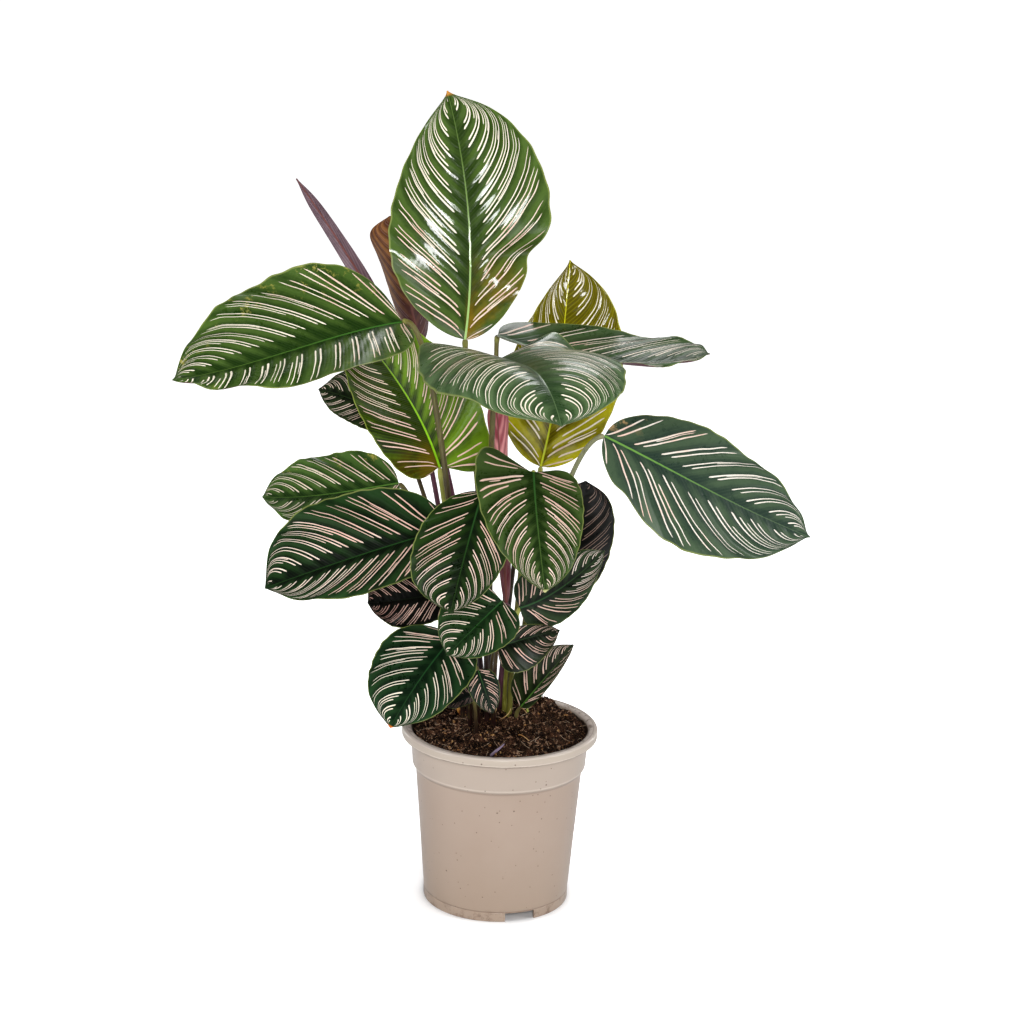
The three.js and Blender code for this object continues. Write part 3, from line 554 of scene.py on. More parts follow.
def stripe_group():
    """Mask of lines |fraction of the cell - centre| < half width, where the half width tapers along u."""
    tree = bpy.data.node_groups.new("pinstripes", "ShaderNodeTree")
    for label in ("Station", "Side", "Cells", "Seed", "Width", "Threads"):
        tree.interface.new_socket(label, in_out="INPUT", socket_type="NodeSocketFloat")
    tree.interface.new_socket("Mask", in_out="OUTPUT", socket_type="NodeSocketFloat")
    tree.interface.new_socket("Cell", in_out="OUTPUT", socket_type="NodeSocketFloat")
    wires = Wires(tree)
    given = tree.nodes.new("NodeGroupInput").outputs
    m = wires.math
    u = m("ABSOLUTE", given["Side"])
    half = m("GREATER_THAN", given["Side"], 0.0)
    along = m("ADD", m("MULTIPLY", given["Station"], given["Cells"]), m("MULTIPLY", half, 0.43))
    wobble = wires.add("ShaderNodeTexNoise", {"Vector": wires.add("ShaderNodeCombineXYZ", {
        0: m("MULTIPLY", given["Station"], 6.0), 1: m("MULTIPLY", u, 1.2), 2: given["Seed"]}), "Scale": 1.0})
    along = m("ADD", along, m("MULTIPLY", m("SUBTRACT", wobble, 0.5), 0.3))
    cell, part = m("FLOOR", along), m("FRACT", along)

    def draw(k):
        """Three numbers from 0 to 1 that belong to this cell, this half and this leaf."""
        spot = wires.add("ShaderNodeCombineXYZ", {0: cell, 1: m("ADD", half, 2.0 * k), 2: given["Seed"]})
        colour = wires.add("ShaderNodeTexWhiteNoise", {"Vector": spot}, "Color", noise_dimensions="3D")
        split = wires.tree.nodes.new("ShaderNodeSeparateColor")
        wires.feed(split.inputs[0], colour)
        return split.outputs

    def line(centre, start, end, width):
        """One line: full width from its start, thinner towards its end, and nothing outside."""
        taper = wires.step(u, start, end, 1.0, 0.5)
        inside = m("MULTIPLY", wires.step(u, start, m("ADD", start, BLUNT)),
                   wires.step(u, m("SUBTRACT", end, FADE), end, 1.0, 0.0))
        reach = m("MULTIPLY", m("MULTIPLY", width, taper), inside)
        drawn = wires.near(part, centre, m("MULTIPLY", reach, 0.8), m("ADD", reach, SOFT))
        return m("MULTIPLY", drawn, wires.step(reach, SOFT, LEAST))

    a, b, c = draw(0), draw(1), draw(2)
    # where in the cell the two lines and a thread beside them stand
    first = m("MULTIPLY_ADD", a[0], 0.12, 0.18)
    gap = m("MULTIPLY_ADD", a[1], 0.07, 0.23)
    second = m("ADD", first, gap)
    third = m("ADD", second, m("MULTIPLY", gap, 0.9))
    # where on the half blade the lines start and end, and how wide they are
    start = m("MULTIPLY_ADD", a[2], 0.08, 0.12)
    end = m("MULTIPLY_ADD", b[0], 0.07, 0.89)
    wide = m("MULTIPLY", given["Width"], m("MULTIPLY_ADD", b[1], 0.5, 0.75))
    thread = lambda chance, share: m("MULTIPLY", m("LESS_THAN", chance, given["Threads"]),
                                     m("MULTIPLY", wide, share))
    lines = [line(first, start, end, wide),
             line(second, m("ADD", start, 0.035), m("ADD", end, 0.03), m("MULTIPLY", wide, 0.85)),
             line(third, m("MULTIPLY_ADD", b[2], 0.3, 0.22), end, thread(c[0], 0.65)),
             line(m("MULTIPLY_ADD", gap, 0.36, first), m("MULTIPLY_ADD", c[1], 0.4, 0.35),
                  m("MULTIPLY_ADD", c[2], 0.2, 0.72), thread(c[1], 0.42))]
    mask = lines[0]
    for one in lines[1:]:
        mask = m("MAXIMUM", mask, one)
    out = tree.nodes.new("NodeGroupOutput")
    wires.feed(out.inputs["Mask"], mask)
    wires.feed(out.inputs["Cell"], along)
    return tree


stripes = stripe_group()
print("the stripe group has", len(stripes.nodes), "nodes")

# %% [markdown]
# ## The skin of a leaf
# The upper side is waxy green, darker beside the midrib and in bands between the veins, with a light
# midrib and a thin pale margin. The underside is dull purple, the stripes show through it faintly and its
# midrib is darker. One material holds both, and the value "under" chooses between them. A clear coat,
# on the upper side only, is the wax of the glossiest leaves.

# %% Leaf material
WARM, SCORCHED, SPOTTED, PINK = "#8a6a08", "#b89a6a", "#a8a04c", "#f0ccba"
STRIPE_BELOW, RIB_BELOW = "#b58f8f", "#6e4038"


def leaf_material(name, dark, light, line, rib, cells, seed, width=0.052, threads=0.35, pink=0.25, wax=0.3,
                  under=("#4a2a34", "#6f4a56"), edge="#8f9a55", painted_light_half=None, scorch=False, gloss=0.0,
                  sun=0.0, relief=0.15, shine=0.22, tip_shade=0.0, blotch=0.0, tip=None, heel=None):
    """Green ground with bands and mottling, pinstripes, midrib, margin and the purple underside.

    The ground goes from dark to light with a shade value: low beside the midrib, higher between the
    stripes' cells, mottled by noise. tip_shade adds to it towards the tip. painted_light_half adds to it on the
    right and
    the left half: painted light on one half and painted shade on the other. Sun turns the base of the right
    half, or of the left one where it is negative, a warm brown-yellow. Scorch dries patches at the left half's
    base, and blotch spots the outer blade. Tip colours the upper side's last point, and heel the first half of
    the underside.
    """
    material, wires, shader = new_material(f"skin_{name}")
    m = wires.math
    s, side, t, off = (wires.attribute(key) for key in ("station", "side", "along", "rib"))
    u = m("ABSOLUTE", side)
    group = wires.tree.nodes.new("ShaderNodeGroup")
    group.node_tree = stripes
    for key, value in {"Station": s, "Side": side, "Cells": cells, "Seed": seed, "Width": width,
                       "Threads": threads}.items():
        wires.feed(group.inputs[key], value)
    mask, cell = group.outputs["Mask"], group.outputs["Cell"]
    # the ground
    band = m("SINE", m("MULTIPLY", m("ADD", cell, 0.55), 2 * math.pi))
    patch = wires.noise(26.0, 3.0, 0.6)
    grain = wires.noise(240.0, 2.0, 0.6)
    shade = m("ADD", m("MULTIPLY_ADD", band, 0.2, 0.14), m("MULTIPLY", patch, 0.6))
    shade = m("ADD", shade, m("ADD", wires.step(u, 0.0, 0.22, -0.34, 0.0), wires.step(u, 0.6, 1.0, 0.0, 0.16)))
    shade = m("ADD", shade, m("MULTIPLY", m("SUBTRACT", grain, 0.5), 0.3))
    if tip_shade:
        shade = m("ADD", shade, wires.step(t, 0.3, 0.75, 0.0, tip_shade))
    # painted light and shade: one half of the blade lighter, the other darker
    if painted_light_half is not None:
        shade = m("ADD", shade, wires.step(side, -0.06, 0.06, painted_light_half[0], painted_light_half[1]))
    green = wires.mix(wires.step(shade, 0.05, 0.95), paint(dark), paint(light))
    fine = m("SINE", m("MULTIPLY", cell, 2 * math.pi * 5))
    green = wires.mix(wires.step(fine, 0.2, 1.0, 0.0, 0.16), green, paint(light))
    # patches that single leaves have
    if sun:
        warm = m("MULTIPLY", wires.step(t, 0.0, 0.42 if sun > 0 else 0.28, 1.0, 0.0),
                 wires.step(m("MULTIPLY", side, -1.0 if sun > 0 else 1.0), -0.1, 0.12))
        warm = m("MULTIPLY", m("MULTIPLY", warm, wires.step(patch, 0.3, 0.6)), abs(sun))
        green = wires.mix(warm, green, paint(WARM))
    if scorch:
        burn = m("MULTIPLY", wires.step(wires.noise(75.0, 4.0, 0.7), 0.56, 0.66),
                 m("MULTIPLY", wires.step(t, 0.02, 0.2, 1.0, 0.0), wires.step(side, 0.2, 0.9)))
        green = wires.mix(burn, green, paint(SCORCHED))
    if blotch:
        spot = wires.step(wires.noise(60.0, 6.0, 0.8), 0.56, 0.64, 0.0, blotch)
        outer = m("MULTIPLY", wires.step(u, 0.45, 0.85), wires.step(side, -0.1, 0.1, 1.0, 0.25))
        green = wires.mix(m("MULTIPLY", spot, outer), green, paint(SPOTTED))
    # stripes, midrib, margin and tip of the upper side
    tint = wires.step(m("ADD", patch, wires.step(s, 0.0, 0.8, 0.25, -0.15)), 0.7 - pink, 1.0 - pink)
    stripe = wires.mix(tint, paint(line), paint(PINK))
    ragged = wires.step(wires.noise(700.0, 2.0, 0.7), 0.3, 0.5, 0.86, 1.0)
    ragged = m("MULTIPLY", ragged, wires.step(t, 0.95, 0.985, 1.0, 0.0))
    top = wires.mix(m("MULTIPLY", mask, ragged), green, stripe)
    top = wires.mix(wires.step(off, 0.34, 0.62, 1.0, 0.0), top,
                    wires.mix(wires.step(t, 0.0, 0.9), paint(rib), paint(light)))
    top = wires.mix(wires.step(u, 0.972, 0.99, 0.0, 0.7), top, paint(edge))
    if tip:
        top = wires.mix(wires.step(t, 0.975, 0.99), top, paint(tip))
    # the underside
    below = wires.mix(wires.step(m("ADD", m("MULTIPLY", patch, 0.8), m("MULTIPLY", band, 0.12)), 0.2, 0.75),
                      paint(under[0]), paint(under[1]))
    if heel:
        below = wires.mix(wires.step(t, 0.05, 0.55, 0.85, 0.0), below, paint(heel))
    below = wires.mix(m("MULTIPLY", mask, 0.22), below, paint(STRIPE_BELOW))
    below = wires.mix(wires.step(off, 0.3, 0.7, 0.8, 0.0), below, paint(RIB_BELOW))
    turned = wires.attribute("under")
    wires.feed(shader.inputs["Base Color"], wires.mix(wires.step(turned, 0.3, 0.7), top, below))
    # wax and fine relief
    rough = m("MULTIPLY_ADD", patch, 0.14, wax - 0.07)
    rough = m("ADD", rough, m("MULTIPLY", m("SUBTRACT", grain, 0.5), 0.12))
    wires.feed(shader.inputs["Roughness"], m("ADD", rough, m("MULTIPLY", turned, 0.16)))
    height = m("ADD", m("MULTIPLY", fine, 0.12), m("ADD", m("MULTIPLY", mask, 0.12), m("MULTIPLY", grain, 0.5)))
    height = m("ADD", height, m("MULTIPLY", wires.noise(900.0, 2.0, 0.6), 0.12))
    quilt = m("ADD", m("MULTIPLY", m("SINE", m("MULTIPLY", cell, 2 * math.pi * 2)), wires.step(u, 0.0, 0.2)),
              m("MULTIPLY", wires.noise(48.0, 1.0, 0.5), 3.2))
    height = m("ADD", height, m("MULTIPLY", quilt, relief))
    wires.bump(shader, height, 0.5, 0.0006)
    if gloss:
        wires.feed(shader.inputs["Coat Weight"], m("MULTIPLY_ADD", turned, -gloss, gloss))
    shader.inputs["Coat Roughness"].default_value = 0.07
    shader.inputs["Specular IOR Level"].default_value = shine
    return material


print("leaf material defined")

# %% Every leaf with its own finish
# dark and light are the two colours of the ground, line is the stripes' and rib the midrib's. Cells is the
# number of stripe pairs on each half, width half a stripe's width in cells, and threads the share of pairs
# with a thread beside them. Pink tints the stripes, and wax is the roughness.
CREAM, BLUSH, SHADED_STRIPE = "#fdf3de", "#f8e2d2", "#b08c80"
SKINS = {
    "top": dict(dark="#22360a", light="#4e682a", line=CREAM, rib="#a8cc78", cells=12.5, width=0.066,
                threads=0.6, pink=0.15, wax=0.22, gloss=0.9, relief=0.8, shine=0.1, sun=0.9, tip="#c88a40"),
    "left_high": dict(dark="#183008", light="#496426", line=CREAM, rib="#3c7028", cells=13.0, pink=0.12,
                      blotch=0.8),
    "shade": dict(dark="#284020", light="#587048", line=CREAM, rib="#7f9878", cells=12.0, threads=0.6,
                  pink=0.08, gloss=0.25, relief=0.3),
    "right_high": dict(dark="#1d3318", light="#48603a", line="#f0e4d2", rib="#5d8055", cells=9.0, pink=0.08),
    # the lime leaf's yellow-green is its own, made brighter as painted light shining through it; tip_shade darkens
    # it towards the tip
    "lime": dict(dark="#5c5400", light="#d0ca1c", line="#fff6da", rib="#d8e830", cells=9.0, width=0.056,
                 pink=0.0, wax=0.24, gloss=0.9, relief=0.8, shine=0.1, tip_shade=-0.5, edge="#d0d060",
                 under=("#8a8a30", "#a8a850")),
    "right": dict(dark="#28392f", light="#495d44", line="#f4ecdf", rib="#6ea048", cells=9.0, pink=0.08,
                  scorch=True),
    "split": dict(dark="#1c2a00", light="#6a9018", line="#fdecd0", rib="#8fd11c", cells=13.0, pink=0.3,
                  painted_light_half=(0.14, -0.5), sun=-0.5, edge="#9aa84a"),
    "left_dark": dict(dark="#060d04", light="#28391c", line="#f6e2ce", rib="#2a5220", cells=8.0),
    "left_back": dict(dark="#1a3210", light="#4e6e32", line="#fff4da", rib="#5d8c38", cells=9.0, pink=0.1,
                      blotch=1.0),
    "left_mid": dict(dark="#040a04", light="#22401c", line="#ffeedc", rib="#22481e", cells=11.0, width=0.058,
                     pink=0.3, wax=0.4),
    # dusk, right_dark and foot_dark lie deep in the plant: their near-black grounds and dim stripes are painted
    # shade
    "dusk": dict(dark="#010201", light="#0a0f09", line=SHADED_STRIPE, rib="#182414", cells=8.0, threads=0.5, pink=0.4),
    "low_left": dict(dark="#051608", light="#1e3c1e", line=CREAM, rib="#25502a", cells=8.0, pink=0.15,
                     tip="#c86a18"),
    "front_left": dict(dark="#061204", light="#223c12", line=BLUSH, rib="#2a5226", cells=9.0),
    "front": dict(dark="#162a0a", light="#465e2c", line="#fce6d4", rib="#2f5c28", cells=10.0, width=0.056,
                  threads=0.6, tip="#c8c888"),
    "low_front": dict(dark="#0b200a", light="#264220", line="#fcecd8", rib="#2c5a2a", cells=7.0, pink=0.18),
    "low_right": dict(dark="#070f07", light="#283e20", line="#fff0e2", rib="#29522a", cells=8.0, pink=0.3),
    # painted shade: near-black ground and dim stripes
    "right_dark": dict(dark="#020302", light="#0a0d09", line="#857064", rib="#1e3222", cells=9.0, pink=-0.3),
    "small_right": dict(dark="#040a03", light="#202d18", line="#d6b8a8", rib="#2a4a26", cells=5.5, pink=0.4),
    "foot_right": dict(dark="#060d03", light="#28361a", line="#ecd0c0", rib="#4f7a30", cells=6.0, pink=0.35),
    "foot_small": dict(dark="#040f09", light="#1a2c1c", line="#e4c4b2", rib="#33602f", cells=5.0, pink=0.4),
    # painted shade: near-black ground and dim stripes
    "foot_dark": dict(dark="#020403", light="#0b110c", line="#8a7068", rib="#142016", cells=6.0, pink=-0.3),
    "spear_left": dict(dark="#1f4a30", light="#3d6b40", line=BLUSH, rib="#6e9a50", cells=9.0, wax=0.42,
                       under=("#57424c", "#927a82")),
    "spear_back": dict(dark="#1f4a30", light="#3d6b40", line=BLUSH, rib="#6e9a50", cells=9.0, wax=0.42,
                       under=("#5a341c", "#b47c44"), heel="#44262e"),
    "spear_red": dict(dark="#3a2a28", light="#5a3a34", line=BLUSH, rib="#b06a60", cells=9.0, wax=0.36,
                      under=("#94404a", "#f4a6a6"), heel="#5a1c2a"),
    "back_high": dict(dark="#18381f", light="#3f6a3a", line=CREAM, rib="#568c40", cells=9.0, pink=0.15),
    "back_mid": dict(dark="#16341e", light="#3a6237", line=CREAM, rib="#4b7d3a", cells=9.0, pink=0.2),
    "back_low": dict(dark="#142f1c", light="#345a34", line=BLUSH, rib="#46743a", cells=9.0),
}
# how far the stripes sweep forwards on the left and the right half
SWEEP, SWEEPS = (0.86, 0.86), {"left_high": (0.34, 0.9), "left_dark": (0.6, 0.8)}
RELIEF, ROLLED_RELIEF = 1.0, 0.4   # quilting of an open blade and of a rolled one
for number, (name, look) in enumerate(SKINS.items()):
    skin = leaf_material(name, seed=number + 0.5, **look)
    blade_piece(name, skin, seed=number + 11,
                relief=ROLLED_RELIEF if name.startswith("spear") else RELIEF, sweep=SWEEPS.get(name, SWEEP))
print(len(SKINS), "blades made")

# %% [markdown]
# ## Stalks
# Each leaf stands on a thin round stalk that rises from the soil. It is dark red-brown near the soil, partly
# its own colour and partly painted shade under the leaves, and olive towards the blade, and ends in a short
# swollen joint that turns the blade to the light. The stalk is a tube: a circle carried along a curve, with
# its radius changing on the way.

# %% Stalks, measured one by one
# name, root in the soil, pull from the root, pull from the blade's base, lower and upper radius
STALKS = [
    ["top", [-14, 44], [2, 54, 150], [0, 72, -68], 3.4, 2.4],
    ["left_high", [-22, 22], [-28, -48, 200], [30, 3, 17], 3.2, 2.4],
    ["shade", [-12, 24], [0, -4, 150], [-10, 34, -26], 3.2, 2.4],
    ["right_high", [6, 46], [0, 6, 150], [-4, 14, -50], 3.0, 2.2],
    ["lime", [14, 60], [8, 8, 90], [-4, 8, -60], 3.0, 2.2],
    ["right", [20, 40], [6, 10, 120], [-36, 4, -2], 3.0, 2.2],
    ["split", [-26, 54], [-4, 4, 90], [8, 4, -70], 3.0, 2.2],
    ["left_dark", [-30, 66], [-10, 10, 100], [30, 0, -50], 2.6, 2.0],
    ["left_back", [-36, 42], [-10, 6, 90], [30, 4, -24], 2.6, 2.0],
    ["left_mid", [-30, 30], [-4, -4, 80], [30, 6, -30], 2.8, 2.0],
    ["dusk", [-36, 26], [-4, -4, 50], [20, 6, -30], 2.4, 1.8],
    ["low_left", [-28, 12], [-4, -8, 40], [16, 14, -10], 2.4, 1.8],
    ["front_left", [-12, 12], [-4, -10, 90], [6, 18, -24], 2.6, 2.0],
    ["front", [8, 15], [3, 8, 120], [-3, 26, -6], 2.8, 2.0],
    ["low_front", [-6, 4], [-2, -14, 50], [-4, 14, -26], 2.4, 1.8],
    ["low_right", [4, 26], [-1, -6, 60], [-10, 10, -24], 2.4, 1.8],
    ["right_dark", [24, 52], [10, 4, 50], [-10, 4, -30], 2.4, 1.8],
    ["small_right", [-4, 18], [-2, -8, 40], [-12, 8, -10], 2.0, 1.5],
    ["foot_right", [17, 20], [0, -2, 8], [-8, 4, -10], 2.0, 1.5],
    ["foot_small", [-18, 8], [-4, -10, 30], [-6, 6, 14], 1.8, 1.4],
    ["foot_dark", [-23, -12], [0, -2, 18], [4, 5, -12], 1.8, 1.4],
    ["spear_left", [-38, 56], [-10, 8, 150], [30, 2, -60], 2.8, 2.2],
    ["spear_back", [-16, 66], [-10, 10, 150], [12, 2, -70], 2.8, 2.2],
    ["spear_red", [-2, 32], [0, -4, 40], [2, -2, -40], 3.6, 3.0],
    ["back_high", [-2, 76], [4, 10, 90], [-4, -26, -4], 2.6, 2.0],
    ["back_mid", [-24, 68], [-4, 12, 60], [4, -22, -4], 2.6, 2.0],
    ["back_low", [-10, 72], [0, 6, 50], [3, -18, -4], 2.4, 1.8],
]
ROOT_HEIGHT = 160   # how high the roots' ends are, mm: inside the soil
print(len(STALKS), "stalks")

# %% A tube along a curve
TUBE_SIDES = 20
ROUND_END = 0.4     # how far the middle of an end stands out, as a share of the radius there


def tube(centres, radii):
    """Rings of points round a curve, with a ring direction that is kept from step to step, and two end caps."""
    along = np.gradient(centres, axis=0)
    along /= np.linalg.norm(along, axis=1, keepdims=True)
    x = np.array([1.0, 0.2, 0.0])
    frames = np.empty_like(centres)
    for i, a in enumerate(along):
        x = x - x.dot(a) * a
        x = frames[i] = x / np.linalg.norm(x)
    y = np.cross(along, frames)
    turn = np.linspace(0, 2 * np.pi, TUBE_SIDES, endpoint=False)
    circle = np.cos(turn)[None, :, None] * frames[:, None] + np.sin(turn)[None, :, None] * y[:, None]
    points = centres[:, None] + circle * radii[:, None, None]
    tips = np.stack([centres[0] - along[0] * radii[0] * ROUND_END,
                     centres[-1] + along[-1] * radii[-1] * ROUND_END])
    steps = len(centres)
    return (np.concatenate([points.reshape(-1, 3), tips]),
            [grid_faces(steps, TUBE_SIDES, wrap=True), *end_fans(steps, TUBE_SIDES)])


def tube_values(along, joint, last_joint=0.0):
    """Gives each station's two values to every point of its ring, and then to the two ends."""
    return {"along": np.append(np.repeat(along, TUBE_SIDES), [0.0, 1.0]),
            "joint": np.append(np.repeat(joint, TUBE_SIDES), [0.0, last_joint])}


print("a tube has", TUBE_SIDES, "sides")

# %% Stalk materials
def stalk_material(name, low, high, joint):
    """Colour runs from low to high along the stalk, with lengthwise streaks, specks and a paler joint; low is
    partly painted shade.
    """
    material, wires, shader = new_material(name)
    m = wires.math
    along = wires.attribute("along")
    stretch = wires.add("ShaderNodeMapping", {"Vector": wires.place(), "Scale": (1.0, 1.0, 0.06)})
    streak = wires.noise(420.0, 3.0, 0.6, stretch)
    speck = wires.noise(900.0, 2.0, 0.6)
    level = m("ADD", along, m("MULTIPLY_ADD", streak, 0.5, -0.25))
    # the low colour near the soil is partly painted shade under the leaves
    colour = wires.mix(wires.step(level, 0.15, 0.8), paint(low), paint(high))
    colour = wires.mix(wires.step(streak, 0.55, 0.75, 0.0, 0.5), colour, paint(joint))
    colour = wires.mix(wires.step(streak, 0.3, 0.44, 0.55, 0.0), colour, paint(low))
    colour = wires.mix(wires.step(speck, 0.62, 0.7, 0.0, 0.4), colour, paint(low))
    colour = wires.mix(wires.attribute("joint"), colour, paint(joint))
    wires.feed(shader.inputs["Base Color"], colour)
    wires.feed(shader.inputs["Roughness"], m("MULTIPLY_ADD", streak, 0.2, 0.26))
    wires.bump(shader, streak, 0.4, 0.0005)
    shader.inputs["Specular IOR Level"].default_value = 0.45
    return material


STALK_LOOKS = {
    "olive": stalk_material("stalk_olive", "#2a1c14", "#605a2a", "#8a8c44"),
    "bright": stalk_material("stalk_bright", "#5c5a1e", "#868a38", "#b6ba60"),
    "brown": stalk_material("stalk_brown", "#20100d", "#4c4028", "#6f6a3a"),
    "purple": stalk_material("stalk_purple", "#2c161b", "#6a3f50", "#7f5a62"),
    "grey": stalk_material("stalk_grey", "#4a4a2c", "#848763", "#9c9a78"),
}
STALK_CHOICE = {"left_high": "olive", "right": "grey", "split": "bright", "top": "olive", "lime": "bright",
                "spear_red": "purple", "spear_left": "purple", "spear_back": "purple", "left_mid": "purple",
                "shade": "olive", "front": "bright", "low_right": "bright", "right_high": "olive"}
print(len(STALK_LOOKS), "stalk finishes")

# %% Stalk pieces
STALK_STEPS = 90
# share, middle and reach of the bell curves that thicken and colour a stalk, mm from its end or its foot
JOINT_SWELL, FOOT_SWELL, JOINT_COLOUR = (0.22, 9, 8), (0.12, 0, 14), (0.75, 8, 8)
TAPER, TIP_RADIUS, TIP_SLOPE = 2.5, 1.1, 0.4   # last stretch, mm, radius at the very end, mm, and slope there


def bell(x, share, middle, reach):
    """A bell curve: share times exp(-((x - middle) / reach)^2)."""
    return share * np.exp(-(((x - middle) / reach) ** 2))


def stalk_piece(name, root, low, high, r0, r1):
    """A cubic curve from the root to just inside the blade's base, swollen at its foot and at its joint."""
    base = np.array(leaves[name]["base"], float)
    start = np.array([*root, ROOT_HEIGHT], float)
    t = np.linspace(0, 1, STALK_STEPS)
    centres = cubic(np.array([start, start + low, base + high, base]), t)
    length = np.linalg.norm(np.diff(centres, axis=0), axis=1).sum()
    end = (1 - t) * length
    swell = bell(end, *JOINT_SWELL) + bell(t * length, *FOOT_SWELL)
    radii = (r0 + (r1 - r0) * t) * (1 + swell)
    radii = np.where(end < TAPER, np.minimum(radii, TIP_RADIUS + end * TIP_SLOPE), radii)
    points, faces = tube(centres, radii)
    make_piece(f"stem_{name}", points, faces, STALK_LOOKS[STALK_CHOICE.get(name, "brown")],
               [f"stalk_{name}"], tube_values(t, bell(end, *JOINT_COLOUR), last_joint=0.5), sharp=0)


for row in STALKS:
    stalk_piece(*row)
print("stalks made")

# %% [markdown]
# ## Sprouts
# Two young shoots stand by the stalks: a purple one by the rim and a yellow-green one in the middle. A
# shoot is a leaf rolled to a point, so it is a tube whose radius falls to nothing at its tip.

# %% Sprouts
def small_tube(name, row, steps, taper, nodes=()):
    """A tube along a cubic curve in two colours of its own, with the radius (r0 + (r1 - r0) t) taper(t)."""
    start, low, high, end, r0, r1, dark, light = row
    start, end = np.array(start, float), np.array(end, float)
    t = np.linspace(0, 1, steps)
    centres = cubic(np.array([start, start + low, end + high, end]), t)
    points, faces = tube(centres, (r0 + (r1 - r0) * t) * taper(t))
    make_piece(name, points, faces, stalk_material(name, dark, light, light), nodes,
               tube_values(t, 0 * t), sharp=0)


def shoot_taper(t):
    """The square root of 1.04 - t^5, kept above 0.02: nearly even, and close to nothing at the tip."""
    return np.sqrt(np.clip(1.04 - t**5, 0.02, 1))


SHOOT_STEPS, BIT_STEPS = 40, 24   # stations along a shoot, and along the small bits on the soil
# name, start, bend at the start, bend at the end, end, first and last radius, dark and light colour
SPROUTS = [
    ["purple", [-10, -62, 160], [0, 0, 8], [-4, 1, -6], [5, -66, 181], 2.1, 0.8, "#4a3746", "#9a88a2"],
    ["green", [30, 22, 166], [0, 0, 10], [-1, 1, -6], [25, 20, 194], 1.6, 0.6, "#6f7a2c", "#b9c162"],
]
for name, *row in SPROUTS:
    small_tube(f"shoot_{name}", row, SHOOT_STEPS, shoot_taper, [f"sprout_{name}"])
print(len(SPROUTS), "sprouts made")

# %% [markdown]
# ## The pot
# A nursery pot is moulded in one piece: a tapered wall, a wider band under a rolled rim, and a foot ring
# with notches that let water out. It is a profile turned about the axis. The corners of the profile are
# cut twice, which rounds them, as in every moulding.

# %% Pot profile
# radii and heights in millimetres
FOOT = {"outer": 71.0, "inner": 68.6, "height": 9.0}
FLOOR_TOP, WALL = 10.6, 1.3
BODY = {"low": 71.0, "high": 80.8, "top": 133.0}
SHOULDER = {"radius": 84.2, "z": 138.4}
BAND = {"radius": 86.2, "top": 166.4}
RIM = {"outer": 95.0, "low": 167.4, "top": 176.0, "inner": 85.7, "skirt": 1.4}
NOTCHES = {"width": 30.0, "angles": (20.6, 140.6, 260.6)}
LIP_DOWN = 2.8                      # how far the rim's inner lip comes down
FIRST_CUT, SECOND_CUT = 0.5, 0.18   # how much is cut from every corner, and then from the new ones
inside = lambda outer: outer - WALL
POT_PROFILE = np.array([
    [0, FOOT["height"]], [FOOT["inner"], FOOT["height"]], [FOOT["inner"], 0], [FOOT["outer"] - 0.4, 0],
    [FOOT["outer"], 0.5], [FOOT["outer"], FOOT["height"] - 0.2], [FOOT["outer"] - 0.5, FOOT["height"] + 0.4],
    [BODY["low"], FLOOR_TOP - 0.2], [BODY["high"], BODY["top"]], [BODY["high"] + 0.9, BODY["top"] + 2.4],
    [SHOULDER["radius"] - 0.8, SHOULDER["z"] - 1.2], [SHOULDER["radius"], SHOULDER["z"]],
    [BAND["radius"], BAND["top"]], [BAND["radius"] + 0.5, RIM["top"] - 3],
    [RIM["outer"] - RIM["skirt"], RIM["top"] - 3], [RIM["outer"] - RIM["skirt"], RIM["low"]],
    [RIM["outer"], RIM["low"]], [RIM["outer"], RIM["top"] - 2],
    [RIM["outer"] - 0.7, RIM["top"] - 0.6], [RIM["outer"] - 2.4, RIM["top"]],
    [RIM["inner"] + 2.6, RIM["top"] - 0.3], [RIM["inner"] + 0.8, RIM["top"] - 1.1],
    [RIM["inner"], RIM["top"] - LIP_DOWN], [inside(BAND["radius"]), BAND["top"] - 1],
    [inside(SHOULDER["radius"]), SHOULDER["z"]], [inside(SHOULDER["radius"]) - 1, SHOULDER["z"] - 2],
    [inside(BODY["high"]), BODY["top"] - 0.5], [inside(BODY["low"]) + 0.1, FLOOR_TOP + 1.2],
    [inside(BODY["low"]) - 1.4, FLOOR_TOP], [0, FLOOR_TOP]])


def round_corners(line, cut):
    """Replaces each inner corner by two points, each at most the cut or a third of its side away."""
    before, after = line[:-2] - line[1:-1], line[2:] - line[1:-1]
    reach = lambda d: d * np.minimum(cut / np.linalg.norm(d, axis=1), 1 / 3)[:, None]
    pairs = np.stack([line[1:-1] + reach(before), line[1:-1] + reach(after)], 1).reshape(-1, 2)
    return np.concatenate([line[:1], pairs, line[-1:]])


pot_line = round_corners(round_corners(POT_PROFILE, FIRST_CUT), SECOND_CUT)
print("pot profile:", len(POT_PROFILE), "measured points,", len(pot_line), "after rounding")

# %% Pot mesh
def split_long(line, most):
    """Adds points on the long straight runs, so that no step is longer than most."""
    runs = [np.linspace(a, b, max(1, int(np.ceil(np.linalg.norm(b - a) / most))), endpoint=False)
            for a, b in zip(line[:-1], line[1:])]
    return np.concatenate([*runs, line[-1:]])


def turn_profile(line, angles):
    """Rings of the profile's points about the axis, the points of its two poles, and the faces."""
    ring = np.stack([np.cos(angles), np.sin(angles)], -1)
    r, z = line[1:-1, 0], line[1:-1, 1]
    rings = np.concatenate([r[:, None, None] * ring,
                            np.broadcast_to(z[:, None, None], (len(r), len(angles), 1))], -1)
    poles = [[0, 0, line[0, 1]], [0, 0, line[-1, 1]]]
    return rings, poles, [grid_faces(len(r), len(angles), wrap=True), *end_fans(len(r), len(angles))]


